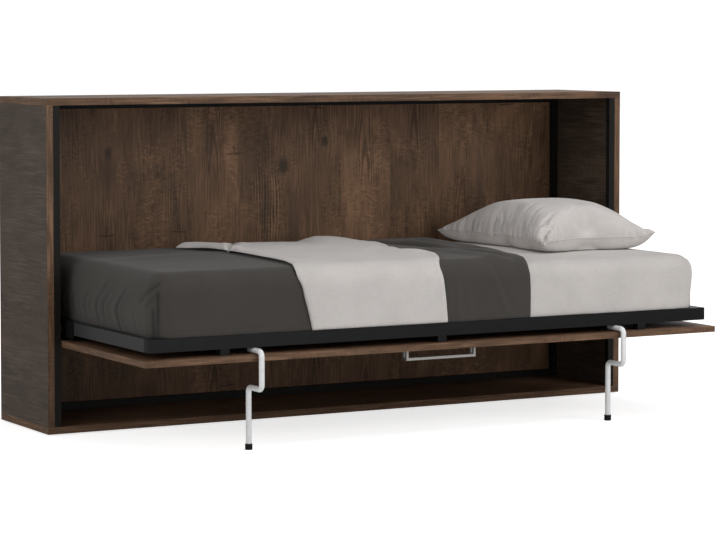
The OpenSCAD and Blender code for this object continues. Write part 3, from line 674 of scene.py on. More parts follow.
def make_look() -> Look:
    """Build every material of the bed.

    Returns:
        The materials by name.
    """
    x, y, z = Axis
    edge, plain_edge = (0.112, 0.063, 0.036), {"contrast": 0.7, "figure": 0.0}
    finishes = (
        SmokedOak(
            "smoked_oak_back", (0.134, 0.0750, 0.0420), z, x, lines=0.55, seed=0.3, sparse=0.90,
            knots=((-0.695, 0.858, 0.8), (-0.049, 0.800, 1.1), (0.112, 0.885, 0.7)),
            flames=((-0.112, 0.056, 0.55, 0.77),),
            smudges=((-0.012, 0.620, 0.036, 0.115), (-0.330, 0.900, 0.026, 0.120), (-0.700, 0.780, 0.030, 0.090)),
            cracks=((-0.703, 0.587), (-0.440, 0.591)),
        ),
        SmokedOak("smoked_oak_side", (0.056, 0.040, 0.029), y, z, contrast=0.6, figure=0.35, lines=0.8, seed=4.1),
        SmokedOak("smoked_oak_board", (0.118, 0.068, 0.040), x, y, seed=7.7),
        SmokedOak("smoked_oak_panel", (0.104, 0.057, 0.033), x, y, seed=2.6),
        SmokedOak("edge_band_level", edge, x, z, seed=1.9, **plain_edge),
        SmokedOak("edge_band_upright", edge, z, x, seed=5.2, **plain_edge),
        SmokedOak("edge_band_end", edge, y, z, seed=3.4, **plain_edge),
        PowderCoat("black_powder_coat", (0.0085, 0.0078, 0.0066), 0.50),
        PowderCoat("graphite_powder_coat", (0.0056, 0.0058, 0.0062), 0.36, shine=0.12),
        # Painted light: a paler copy of the graphite coat for the frame's end rails, standing for the light that they
        # reflect from the left
        PowderCoat("graphite_powder_coat_ends", (0.0290, 0.0294, 0.0300), 0.42, shine=0.12),
        ZincPlate("zinc_plate", (0.50, 0.51, 0.53)),
        ZincPlate("blackened_zinc", (0.030, 0.030, 0.032)),
        BrushedMetal("brushed_handle", (0.27, 0.26, 0.245), x, 0.50),
        BrushedMetal("ground_rod", (0.60, 0.61, 0.63), z, 0.16, 0.03),
        Enamel("pale_enamel", (0.76, 0.765, 0.765)),
        Moulded("black_moulding", (0.0050, 0.0050, 0.0052)),
        Moulded("bush_moulding", (0.52, 0.49, 0.43), 0.4),
        Moulded("foot_rubber", (0.0080, 0.0080, 0.0085), 0.75, 600.0),
        Beech("beech_slats", (0.42, 0.27, 0.145), y),
        Beech("beech_dowels", (0.42, 0.27, 0.145), z),
        Cloth("mattress_ticking", (0.72, 0.70, 0.66), Weave.TICKING, 900.0),
        Cloth("pale_sheet", (0.500, 0.472, 0.452), threads=1500.0),
        # The charcoal cover gets painted shade along its creases
        Cloth("charcoal_cover", (0.0440, 0.0395, 0.0350), Weave.SATEEN, 1100.0, 0.8, 0.10, shade_in_creases=True),
        Cloth("pale_throw", (0.530, 0.500, 0.480), threads=1000.0, rough=0.9, fuzz=0.2),
        Cloth("pale_pillowcase", (0.560, 0.528, 0.508), threads=1500.0, gathers=1.0),
        Moulded("pale_thread", (0.480, 0.450, 0.430), 0.8, 1800.0),
        Moulded("charcoal_thread", (0.030, 0.027, 0.024), 0.8, 1800.0),
    )
    return {finish.name: finish.material() for finish in finishes}


# Mesh tools --------------------------------------------------------------------------------


def link(name: str, data: Optional[bpy.types.ID]) -> bpy.types.Object:
    """Put an object in the scene, at the origin.

    Args:
        name: The object's name.
        data: Its mesh, light or camera.

    Returns:
        The object.
    """
    thing = bpy.data.objects.new(name, data)
    bpy.context.scene.collection.objects.link(thing)
    return thing


def new_piece(name: str, mesh: bpy.types.Mesh, material: bpy.types.Material) -> bpy.types.Object:
    """Put a mesh in the scene as a piece.

    Args:
        name: The piece's name.
        mesh: Its mesh.
        material: Its material.

    Returns:
        The piece.
    """
    mesh.materials.clear()
    mesh.materials.append(material)
    return link(name, mesh)


def mesh_of(name: str, build: bmesh.types.BMesh) -> bpy.types.Mesh:
    """Turn a bmesh into a mesh and free it.

    Args:
        name: The mesh's name.
        build: The bmesh.

    Returns:
        The mesh.
    """
    mesh = bpy.data.meshes.new(name)
    build.to_mesh(mesh)
    build.free()
    return mesh


def settle(piece: bpy.types.Object) -> bpy.types.Object:
    """Apply a piece's modifiers to its mesh.

    Args:
        piece: The piece.

    Returns:
        The piece, with no modifier left.
    """
    graph = bpy.context.evaluated_depsgraph_get()
    made = bpy.data.meshes.new_from_object(piece.evaluated_get(graph), preserve_all_data_layers=True, depsgraph=graph)
    piece.modifiers.clear()
    piece.data = made
    return piece


def smooth_faces(build: bmesh.types.BMesh, degrees: float) -> None:
    """Shade a bmesh smooth, apart from the edges that turn more than an angle.

    Args:
        build: The bmesh.
        degrees: The angle.
    """
    for face in build.faces:
        face.smooth = True
    for edge in build.edges:
        edge.smooth = len(edge.link_faces) == 2 and edge.calc_face_angle(0.0) < math.radians(degrees)


def report(piece: bpy.types.Object, body: str, node: Optional[str] = None) -> bpy.types.Object:
    """Let a piece ride on its body and the node that it replaces, and log it.

    Args:
        piece: The piece.
        body: The body that it rides on.
        node: The CAD node that it replaces, if any.

    Returns:
        The piece.
    """
    if node:
        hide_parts(node)
    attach(piece, body)
    log.info("%s rides on %s, %d faces", piece.name, body, len(piece.data.polygons))
    return piece


def cad_mesh(node: str) -> bmesh.types.BMesh:
    """Copy a CAD node's mesh with its points joined.

    Args:
        node: The CAD node.

    Returns:
        The copy.
    """
    build = bmesh.new()
    build.from_mesh(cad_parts[node].data)
    bmesh.ops.remove_doubles(build, verts=build.verts, dist=CLOSE)
    return build


def dress(
    node: str, suffix: str, radius: float, material: bpy.types.Material, body: str, segments: int = 2
) -> bpy.types.Object:
    """Copy a CAD node as a piece with its sharp edges eased.

    Args:
        node: The CAD node.
        suffix: What the piece's name has after the node's.
        radius: The edges' radius.
        material: Its material.
        body: The body that it rides on.
        segments: How many faces go round an edge.

    Returns:
        The piece, which replaces the node.
    """
    build = cad_mesh(node)
    bmesh.ops.dissolve_limit(build, angle_limit=math.radians(FLAT), verts=build.verts, edges=build.edges)
    sharp = [e for e in build.edges if len(e.link_faces) == 2 and e.calc_face_angle(0.0) > math.radians(SHARP)]
    bmesh.ops.bevel(
        build, geom=sharp, offset=radius, offset_type="OFFSET", segments=segments, profile=0.5, affect="EDGES",
        clamp_overlap=True, harden_normals=False,
    )
    smooth_faces(build, SMOOTH)
    piece = new_piece(f"{node}_{suffix}", mesh_of(f"{node}_{suffix}", build), material)
    piece.modifiers.new("weighted", "WEIGHTED_NORMAL").keep_sharp = True
    return report(piece, body, node)


def edge_bands(piece: bpy.types.Object, bands: Iterable[tuple[bpy.types.Material, Point]]) -> None:
    """Give a board's edges their own grain.

    Args:
        piece: The board.
        bands: Each band's material with the way that it faces.
    """
    for material, facing in bands:
        if material.name not in piece.data.materials:
            piece.data.materials.append(material)
        number = piece.data.materials.find(material.name)
        for face in piece.data.polygons:
            if face.normal.dot(Vector(facing)) > FACING:
                face.material_index = number


# Geometry Nodes ----------------------------------------------------------------------------


class Tree(Nodes):
    """A Geometry Nodes tree with named inputs, for what repeats or follows a path."""

    def __init__(self, name: str) -> None:
        """Start a tree that takes and gives a geometry.

        Args:
            name: The tree's name.
        """
        super().__init__(bpy.data.node_groups.new(name, "GeometryNodeTree"))
        for way in ("INPUT", "OUTPUT"):
            self.tree.interface.new_socket("Geometry", in_out=way, socket_type="NodeSocketGeometry")
        self.start = self.add("NodeGroupInput")
        self.end = self.add("NodeGroupOutput")

    def size(self, name: str, kind: str = "Float") -> Value:
        """Add a named input.

        Args:
            name: The input's name.
            kind: Its socket type, without the words that all share.

        Returns:
            The value that the tree's nodes read.
        """
        self.tree.interface.new_socket(name, in_out="INPUT", socket_type=f"NodeSocket{kind}")
        return Value(self, self.start.outputs[name])

    def curve(self, kind: str, feeds: Feeds, value: str, label: str, name: str = "mode") -> Value:
        """Add a curve node with a choice, which is a property or a menu input.

        Args:
            kind: The node's type.
            feeds: Links or constants by input name or number.
            value: The property's value.
            label: The menu's entry.
            name: The choice's name as a property.

        Returns:
            The curve.
        """
        node = self.add(kind)
        if hasattr(node, name):
            setattr(node, name, value)
        elif name.title() in node.inputs:
            node.inputs[name.title()].default_value = label
        for key, fed in feeds.items():
            self.feed(node.inputs[key], fed)
        return Value(self, node.outputs[0])

    def give(self, geometry: Value, material: Value) -> "Tree":
        """End the tree: realise what it repeats and set its material.

        Args:
            geometry: What the tree has made.
            material: Its material.

        Returns:
            The tree.
        """
        real = self.get("GeometryNodeRealizeInstances", {0: geometry})
        dressed = self.get("GeometryNodeSetMaterial", {"Geometry": real, "Material": material})
        self.feed(self.end.inputs[0], dressed)
        return self

    def grow(self, piece: bpy.types.Object, **values: object) -> bpy.types.Object:
        """Run the tree on a piece and keep the result as its plain mesh.

        Args:
            piece: The piece.
            **values: The named inputs, with spaces written as underscores.

        Returns:
            The piece.
        """
        modifier = piece.modifiers.new(self.tree.name, "NODES")
        modifier.node_group = self.tree
        named = {key.replace("_", " "): value for key, value in values.items()}
        for item in self.tree.interface.items_tree:
            if item.item_type == "SOCKET" and item.in_out == "INPUT" and item.name in named:
                modifier[item.identifier] = named.pop(item.name)
        if named:
            raise KeyError(f"{self.tree.name} has no input {sorted(named)}")
        return settle(piece)


def tube_tree() -> Tree:
    """Make the tree that turns a path into a round bar with bends of one radius.

    Returns:
        The tree, with the inputs Bar radius, Bend radius, Bend steps, Sides and Finish.
    """
    tree = Tree("round_bar_on_path")
    bar, bend = tree.size("Bar radius"), tree.size("Bend radius")
    steps, sides, finish = tree.size("Bend steps", "Int"), tree.size("Sides", "Int"), tree.size("Finish", "Material")
    path = tree.get("GeometryNodeMeshToCurve", {0: tree.start.outputs[0]})
    feeds = {"Curve": path, "Radius": bend, "Limit Radius": True, "Count": steps}
    bent = tree.curve("GeometryNodeFilletCurve", feeds, "POLY", "Poly")
    ring = tree.get("GeometryNodeCurvePrimitiveCircle", {"Resolution": sides, "Radius": bar})
    swept = tree.get("GeometryNodeCurveToMesh", {"Curve": bent, "Profile Curve": ring, "Fill Caps": True})
    return tree.give(tree.get("GeometryNodeSetShadeSmooth", {0: swept}), finish)


def repeat_tree() -> Tree:
    """Make the tree that sets one small part at each point of a mesh.

    Returns:
        The tree, with the inputs Part and Finish. It reads each point's turn attribute.
    """
    tree = Tree("part_at_each_point")
    part, finish = tree.size("Part", "Object"), tree.size("Finish", "Material")
    shape = tree.get("GeometryNodeObjectInfo", {"Object": part}, "Geometry")
    turn = tree.get("GeometryNodeInputNamedAttribute", {"Name": "turn"}, "Attribute", data_type="FLOAT_VECTOR")
    feeds = {"Points": tree.start.outputs[0], "Instance": shape, "Rotation": turn}
    return tree.give(tree.get("GeometryNodeInstanceOnPoints", feeds), finish)


def slat_tree() -> Tree:
    """Make the tree that lays a row of bowed slats with rounded edges.

    Returns:
        The tree, with inputs for the row and for one slat.
    """
    tree = Tree("row_of_slats")
    count, finish = tree.size("Count", "Int"), tree.size("Finish", "Material")
    pitch, long, wide, thick, bow = (tree.size(n) for n in ("Pitch", "Length", "Width", "Thickness", "Bow"))
    half = long * 0.5
    line = tree.get("GeometryNodeCurvePrimitiveLine", {"Start": tree.join(y=long * -0.5), "End": tree.join(y=half)})
    points = tree.get("GeometryNodeResampleCurve", {"Curve": line, "Count": 13})
    share = tree.parts(tree.get("GeometryNodeInputPosition"))[1] / half
    up = tree.join(z=(1.0 - share * share) * bow)
    bowed = tree.get("GeometryNodeSetPosition", {"Geometry": points, "Offset": up})
    level = tree.curve("GeometryNodeSetCurveNormal", {0: bowed}, "Z_UP", "Z Up")
    section = tree.get("GeometryNodeCurvePrimitiveQuadrilateral", {"Width": wide, "Height": thick})
    feeds = {"Curve": section, "Radius": 0.0025, "Limit Radius": True, "Count": 4}
    rounded = tree.curve("GeometryNodeFilletCurve", feeds, "POLY", "Poly")
    slat = tree.get("GeometryNodeCurveToMesh", {"Curve": level, "Profile Curve": rounded, "Fill Caps": True})
    first = tree.join((count - 1.0) * pitch * -0.5)
    row = tree.get("GeometryNodeMeshLine", {"Count": count, "Start Location": first, "Offset": tree.join(pitch)})
    return tree.give(tree.get("GeometryNodeInstanceOnPoints", {"Points": row, "Instance": slat}), finish)


def stitch_tree() -> Tree:
    """Make the tree that sews a line of stitches along a path.

    Returns:
        The tree, with the inputs Pitch, Stitch length, Thread radius and Finish.
    """
    tree = Tree("stitches_on_path")
    pitch, long, thread = (tree.size(name) for name in ("Pitch", "Stitch length", "Thread radius"))
    finish = tree.size("Finish", "Material")
    path = tree.get("GeometryNodeMeshToCurve", {0: tree.start.outputs[0]})
    holes = tree.curve("GeometryNodeResampleCurve", {"Curve": path, "Length": pitch}, "LENGTH", "Length")
    ball = tree.get("GeometryNodeMeshIcoSphere", {"Radius": thread, "Subdivisions": 1})
    run = tree.get("GeometryNodeInputTangent")
    turn = tree.get("FunctionNodeAlignRotationToVector", {"Vector": run}, axis="Z")
    feeds = {"Points": holes, "Instance": ball, "Rotation": turn, "Scale": tree.join(1.0, 1.0, long / thread * 0.5)}
    return tree.give(tree.get("GeometryNodeInstanceOnPoints", feeds), finish)


def path_piece(name: str, run: Iterable[Point], closed: bool = False) -> bpy.types.Object:
    """Make a piece of bare edges for a tree to follow.

    Args:
        name: The piece's name.
        run: The path's points.
        closed: Whether its end joins its start.

    Returns:
        The piece.
    """
    places = [tuple(map(float, p)) for p in run]
    edges = [(i, i + 1) for i in range(len(places) - 1)]
    mesh = bpy.data.meshes.new(name)
    mesh.from_pydata(places, edges + [(len(places) - 1, 0)] * closed, [])
    return link(name, mesh)


def sew(name: str, line: Iterable[Point], closed: bool, thread: bpy.types.Material) -> None:
    """Sew a line of stitches into the bedding.

    Args:
        name: The piece's name.
        line: Points on the cloth's face.
        closed: Whether the line's end joins its start.
        thread: The thread's material.
    """
    piece = path_piece(name, line, closed)
    stitch_tree().grow(piece, Pitch=0.0062, Stitch_length=0.0044, Thread_radius=0.00045, Finish=thread)
    report(piece, "bed")


def islands(node: str) -> list[np.ndarray]:
    """Split a CAD node into its separate solids.

    Args:
        node: The CAD node.

    Returns:
        The points of each solid.
    """
    build = cad_mesh(node)
    left, found = set(build.verts), []
    while left:
        queue, group = [left.pop()], []
        while queue:
            vert = queue.pop()
            group.append(tuple(vert.co))
            near = {edge.other_vert(vert) for edge in vert.link_edges} & left
            left -= near
            queue.extend(near)
        found.append(np.array(group))
    build.free()
    return sorted(found, key=lambda g: tuple(np.round(g.mean(axis=0), 4)))


@dataclass(frozen=True)
class Screw:
    """A pan-head screw with a six-lobe recess, and the place where it lies."""

    top: np.ndarray
    facing: np.ndarray
    length: float
    head: float
    rise: float = 0.0025
    shank: float = 0.002
    sides: int = 24
    lobes: float = 0.13

    @staticmethod
    def found(points: np.ndarray) -> "Screw":
        """Find how a screw lies from its solid's points.

        Args:
            points: The solid's points.

        Returns:
            The screw.
        """
        low, high = points.min(axis=0), points.max(axis=0)
        axis = int(np.argmax(high - low))
        middle = (low + high) / 2
        radius = np.linalg.norm(np.delete(points - middle, axis, axis=1), axis=1)
        up = points[radius > 0.8 * radius.max()][:, axis].mean() > middle[axis]
        facing = np.zeros(3)
        facing[axis] = 1.0 if up else -1.0
        middle[axis] = (high if up else low)[axis]
        return Screw(middle, facing, float((high - low)[axis]), float(radius.max()))

    def mesh(self, name: str) -> bpy.types.Mesh:
        """Turn the screw round Z, with the top of its head at the origin, pointing down.

        Args:
            name: The mesh's name.

        Returns:
            The mesh, in metres.
        """
        h, r, end = self.head, self.rise, -self.length
        profile = [
            (0.0, -0.0013), (h * 0.30, -0.0013), (h * 0.34, -0.0002), (h * 0.44, -0.00002), (h * 0.62, -0.0001),
            (h * 0.85, -0.0004), (h * 0.97, -0.0009), (h, -0.0014), (h, -r + 0.0001), (h * 0.97, -r), (self.shank, -r),
            (self.shank, end + 0.004), (self.shank * 0.45, end + 0.0008), (0.0, end),
        ]
        build = bmesh.new()
        rings = []
        for radius, height in profile:
            ring = []
            for i in range(self.sides if radius else 1):
                angle = TURN * i / self.sides
                wave = radius * (1.0 + (self.lobes * math.cos(6 * angle) if radius < 0.46 * h else 0.0))
                ring.append(build.verts.new((wave * math.cos(angle), wave * math.sin(angle), height)))
            rings.append(ring)
        for a, b in zip(rings, rings[1:]):
            for i in range(self.sides):
                j = (i + 1) % self.sides
                corners = (a[i % len(a)], b[i % len(b)], b[j % len(b)], a[j % len(a)])
                build.faces.new(tuple(dict.fromkeys(corners)))
        bmesh.ops.recalc_face_normals(build, faces=build.faces)
        smooth_faces(build, 38)
        return mesh_of(name, build)


class Fixings:
    """Sets recessed screws at the places of the CAD's screws."""

    def __init__(self) -> None:
        """Build the tree that all of them use."""
        self.tree = repeat_tree()

    def screws(self, node: str, body: str, finish: bpy.types.Material) -> None:
        """Replace a node of equal screws by one piece.

        Args:
            node: The CAD node.
            body: The body that the screws ride on.
            finish: Their material.
        """
        screws = [Screw.found(points) for points in islands(node)]
        one = link(f"{node}_one", screws[0].mesh(f"{node}_one"))
        name = f"{node}_recessed"
        mesh = bpy.data.meshes.new(name)
        mesh.from_pydata([tuple(screw.top) for screw in screws], [], [])
        angles = [Vector(screw.facing).to_track_quat("Z", "Y").to_euler() for screw in screws]
        turn = mesh.attributes.new("turn", "FLOAT_VECTOR", "POINT")
        turn.data.foreach_set("vector", [a for euler in angles for a in euler])
        piece = self.tree.grow(link(name, mesh), Part=one, Finish=finish)
        bpy.data.objects.remove(one)
        report(piece, body, node)


# Cloth on the mattress ---------------------------------------------------------------------


def eased(value: np.ndarray, low: float, high: float) -> np.ndarray:
    """Rise smoothly from 0 at one value to 1 at another.

    Args:
        value: The values.
        low: Where the rise starts.
        high: Where it ends; it may lie below the start.

    Returns:
        The shares.
    """
    t = np.clip((value - low) / (high - low), 0.0, 1.0)
    return t * t * (3.0 - 2.0 * t)


def rounded(share: np.ndarray) -> np.ndarray:
    """Rise from 0 to 1 along a quarter of a circle.

    Args:
        share: How far on each point is, kept from 0 to 1.

    Returns:
        The heights.
    """
    return np.sqrt(np.clip(1.0 - (1.0 - np.clip(share, 0.0, 1.0)) ** 2, 0.0, 1.0))


def hump(value: np.ndarray, width: float) -> np.ndarray:
    """Give a soft bump of height one round zero.

    Args:
        value: Distances from its middle.
        width: How far out it has fallen to a third.

    Returns:
        Its heights.
    """
    return np.exp(-((value / width) ** 2))


def creases(x: np.ndarray, y: np.ndarray, rows: Iterable[Sequence[float]]) -> np.ndarray:
    """Add up ridges along lines in plan, with soft ends.

    Args:
        x: The points' places along the bed.
        y: Their places across it.
        rows: Each ridge's height, start (x, y), end (x, y), half width, and how far beyond its ends it dies away.

    Returns:
        The heights.
    """
    made = np.zeros(len(x))
    for high, x0, y0, x1, y1, width, *fade in rows:
        run = np.array([x1 - x0, y1 - y0])
        length = float(np.linalg.norm(run))
        run = run / length
        along = (x - x0) * run[0] + (y - y0) * run[1]
        off = (x - x0) * run[1] - (y - y0) * run[0]
        beyond = np.maximum(0.0, np.maximum(-along, along - length))
        made += high * hump(off, width) * hump(beyond, *(fade or [0.06]))
    return made


def upright(x: np.ndarray, low: np.ndarray, rows: Iterable[Sequence[float]]) -> np.ndarray:
    """Add up folds that hang down a side.

    Args:
        x: The points' places along the side.
        low: Their share of the way down to the hem.
        rows: Each fold's height, place, lean, half width, and the shares of the way where it starts and is full.

    Returns:
        The heights.
    """
    return sum(
        high * hump(x - place - lean * low, width) * eased(low, start, full)
        for high, place, lean, width, start, full in rows
    )


def cloudy(points: np.ndarray, scale: Sequence[float], seed: float) -> np.ndarray:
    """Read soft noise at points.

    Args:
        points: The points, as rows of three.
        scale: How many clouds there are to a metre, along each axis.
        seed: Shifts the noise.

    Returns:
        Values about zero, within one.
    """
    return np.array([noise.noise(Vector(row)) for row in points * np.array(scale) + seed])


@dataclass(frozen=True)
class Block:
    """The rounded block that the bedding wraps: the mattress, in its own plan coordinates."""

    middle: float
    half_l: float
    half_w: float
    top: float
    corner: float = 0.060
    edge: float = 0.045

    def tip(self, inside: np.ndarray, down: np.ndarray) -> np.ndarray:
        """Give how far the skin has turned over an edge, from 0 on top to a right angle.

        Args:
            inside: The points' distances from the edge, on top.
            down: Their depths below the top edge.

        Returns:
            The angles.
        """
        quarter = math.pi / 4
        top = quarter * np.clip(1.0 - inside / self.edge, 0.0, 1.0)
        return np.where(down > 0.0, 2 * quarter - quarter * np.clip(1.0 - down / self.edge, 0.0, 1.0), top)

    def wrap(self, flat: np.ndarray, side: float, above: float, extra: Union[float, np.ndarray] = 0.0) -> np.ndarray:
        """Lay points of a sharp box's skin on the rounded block.

        Args:
            flat: Rows of x, y and the depth below the top edge.
            side: How far the skin stands out from the sides.
            above: How far it stands over the top.
            extra: What it stands out on top of that, for each point.

        Returns:
            The points' places in the row frame.
        """
        x, y, down = flat.T
        core = np.stack([
            np.clip(x, self.corner - self.half_l, self.half_l - self.corner),
            np.clip(y, self.corner - self.half_w, self.half_w - self.corner),
        ])
        off = np.stack([x, y]) - core
        wide, deep = np.abs(off)
        far = np.maximum(wide, deep)
        slant = math.pi / 4 * np.minimum(wide, deep) / np.maximum(far, TINY)
        turn = np.where(wide >= deep, slant, math.pi / 2 - slant)
        out = np.stack([np.cos(turn) * np.sign(off[0]), np.sin(turn) * np.sign(off[1])])
        tip = self.tip(np.minimum(self.half_l - np.abs(x), self.half_w - np.abs(y)), down)
        reach = np.where(tip > 0.0, self.corner - self.edge * (1.0 - np.sin(tip)), far)
        height = np.where(down > self.edge, self.top - down, self.top - self.edge * (1.0 - np.cos(tip)))
        stand = side * np.sin(tip) ** 2 + above * np.cos(tip) ** 2 + extra
        place = core + out * (reach + np.sin(tip) * stand)
        return np.stack([place[0], place[1] + self.middle, height + np.cos(tip) * stand], axis=1)

    def across(self, flat: np.ndarray) -> np.ndarray:
        """Give each point's place across the bed, counted on down the front and back.

        Args:
            flat: Rows of x, y and the depth below the top edge.

        Returns:
            The places: they fall below minus half the width on the front.
        """
        _, y, down = flat.T
        return y + np.sign(y) * np.where(np.abs(y) > self.half_w - CLOSE, down, 0.0)


@dataclass
class Skin:
    """Flat points, faces and pattern places of a piece of cloth before it is laid on the block."""

    flat: np.ndarray
    faces: list[tuple[int, ...]]
    pattern: list[list[tuple[float, float]]]

    @staticmethod
    def box(xs: Sequence[float], ys: Sequence[float], downs: Sequence[float], closed: bool = True) -> "Skin":
        """Make the skin of an open box: a top and hanging sides.

        Args:
            xs: The places along the box.
            ys: The places across it.
            downs: The depths of the rows on its sides, without zero.
            closed: Whether the right end hangs too.

        Returns:
            The skin.
        """
        found: dict[tuple[int, ...], int] = {}
        flat, faces, pattern = [], [], []

        def add(corners: Iterable[Point], cut: Iterable[tuple[float, float]]) -> None:
            """Add a face, and those of its points that are new."""
            ring = []
            for corner in corners:
                key = tuple(round(c / CLOSE) for c in corner)
                if key not in found:
                    found[key] = len(flat)
                    flat.append(corner)
                ring.append(found[key])
            faces.append(tuple(ring))
            pattern.append(list(cut))

        for x0, x1 in zip(xs, xs[1:]):
            for y0, y1 in zip(ys, ys[1:]):
                ring = ((x0, y0), (x1, y0), (x1, y1), (x0, y1))
                add([(x, y, 0.0) for x, y in ring], ring)
        low, high = ys[0], ys[-1]
        left, right = xs[0], xs[-1]
        sides = [
            ([(x, low) for x in xs], (0, -1)),
            ([(x, high) for x in reversed(xs)], (0, 1)),
            ([(left, y) for y in reversed(ys)], (-1, 0)),
            ([(right, y) for y in ys], (1, 0)),
        ]
        rows = [0.0, *downs]
        for run, way in sides if closed else sides[:3]:
            for p, q in zip(run, run[1:]):
                for top, bottom in zip(rows, rows[1:]):
                    corners = [(*c, d) for c, d in ((p, top), (p, bottom), (q, bottom), (q, top))]
                    add(corners, [(x + way[0] * d, y + way[1] * d) for x, y, d in corners])
        return Skin(np.array(flat), faces, pattern)

    @staticmethod
    def strip(block: Block, left: Edge, right: Edge, rows: Sequence[float], columns: int) -> "Skin":
        """Make a cloth that lies across the top and hangs over the front.

        Args:
            block: The block that it lies on.
            left: Its left edge along the bed, for each place across it.
            right: Its right edge.
            rows: Places across the bed, from the back edge to the front hem.
            columns: How many faces go from edge to edge.

        Returns:
            The skin.
        """
        across = np.array(rows)
        even = np.linspace(0.0, 1.0, columns + 1)
        # The columns stand closer together near both edges
        share = even - 0.09 * np.sin(TURN * even)
        lows, highs = left(across), right(across)
        x = (lows[:, None] + (highs - lows)[:, None] * share[None, :]).ravel()
        q = np.repeat(across, columns + 1)
        y = np.maximum(q, -block.half_w)
        wide = columns + 1
        firsts = [i * wide + j for i in range(len(rows) - 1) for j in range(columns)]
        faces = [(a, a + wide, a + wide + 1, a + 1) for a in firsts]
        pattern = [[(float(x[k]), float(q[k])) for k in ring] for ring in faces]
        return Skin(np.stack([x, y, y - q], axis=1), faces, pattern)

    def edge_distance(self, size: float) -> np.ndarray:
        """Measure how far each point is from the cloth's edge, up to a limit.

        Args:
            size: The limit.

        Returns:
            The distances along the flat pattern, at most the limit.
        """
        border = {v for pair in self.rim() for v in pair}
        tree = KDTree(len(border))
        spread = self.spread()
        for v in border:
            tree.insert(Vector(spread[v]), v)
        tree.balance()
        return np.array([min(size, tree.find(Vector(p))[2]) for p in spread])

    def spread(self) -> np.ndarray:
        """Give each point a place where distances on the skin are kept well enough."""
        return self.flat * (1.0, 1.0, -1.0)

    def rim(self) -> list[tuple[int, int]]:
        """List the cloth's open edges, in the direction of the faces that they belong to."""
        pairs = {pair for ring in self.faces for pair in zip(ring, ring[1:] + ring[:1])}
        return sorted(pair for pair in pairs if pair[::-1] not in pairs)

    def mesh(self, name: str, outer: np.ndarray, inner: np.ndarray, hem: float = 0.006) -> bpy.types.Mesh:
        """Close the cloth between an outer and an inner surface, with a rounded hem.

        Args:
            name: The mesh's name.
            outer: Each point's place on the outside.
            inner: Its place on the inside.
            hem: How far out the hem stands at most, doubled.

        Returns:
            The mesh, with the flat pattern as its UV map, in metres.
        """
        count = len(self.flat)
        rim = self.rim()
        near: dict[int, list[int]] = {v: [] for v in sorted({v for pair in rim for v in pair})}
        for ring in self.faces:
            for v in ring:
                if v in near:
                    near[v].extend(ring)
        places = [*outer, *inner]
        middle: dict[int, int] = {}
        for v, ring in near.items():
            others = [u for u in ring if u not in near] or ring
            away = outer[v] - np.mean([outer[u] for u in others], axis=0)
            away = away / max(float(np.linalg.norm(away)), TINY)
            thick = float(np.linalg.norm(outer[v] - inner[v]))
            middle[v] = len(places)
            places.append((outer[v] + inner[v]) / 2 + away * min(thick, hem) * 0.5)
        faces = self.faces + [tuple(v + count for v in reversed(ring)) for ring in self.faces]
        pattern = self.pattern + [cut[::-1] for cut in self.pattern]
        place_of = {v: at for ring, cut in zip(self.faces, self.pattern) for v, at in zip(ring, cut)}
        for a, b in rim:
            faces += [(b, a, middle[a], middle[b]), (middle[b], middle[a], a + count, b + count)]
            pattern += [[place_of[v] for v in (b, a, a, b)]] * 2
        mesh = bpy.data.meshes.new(name)
        mesh.from_pydata([tuple(map(float, p)) for p in places], [], faces)
        cuts = np.array([c for ring in pattern for c in ring], np.float32)
        mesh.uv_layers.new(name="pattern").data.foreach_set("uv", cuts.ravel())
        mesh.polygons.foreach_set("use_smooth", [True] * len(mesh.polygons))
        mesh.validate()
        mesh.update()
        return mesh


def spaced(low: float, high: float, step: float, *fine: tuple[float, float, float]) -> list[float]:
    """List places from one end to the other, closer together in some stretches.

    Args:
        low: The first place.
        high: The last place.
        step: The distance between places.
        *fine: Stretches with their own step, as (from, to, step).

    Returns:
        The places.
    """
    places = [low]
    while places[-1] < high - CLOSE:
        at = places[-1]
        places.append(at + min([s for a, b, s in fine if a <= at + TINY < b] + [step]))
    scale = (high - low) / (places[-1] - low)
    return [low + (p - low) * scale for p in places]


def edge_line(*points: tuple[float, float]) -> Edge:
    """Make a smooth edge through points.

    Args:
        *points: Places across the bed with the edge's place along it, from the front to the back.

    Returns:
        A function from the places across to the edge's places.
    """
    keys, values = np.array(points).T

    def at(across: np.ndarray) -> np.ndarray:
        """Give the edge at places across the bed."""
        shifts = (-0.016, -0.008, 0.0, 0.008, 0.016)
        return np.mean([np.interp(across + shift, keys, values) for shift in shifts], axis=0)

    return at


@dataclass
class Layer:
    """A layer of the bedding, which goes round the block and down to its hem."""

    look: Look
    block: Block
    hem: float

    @property
    def deep(self) -> float:
        """How far the layer hangs below the top."""
        return self.block.top - self.hem


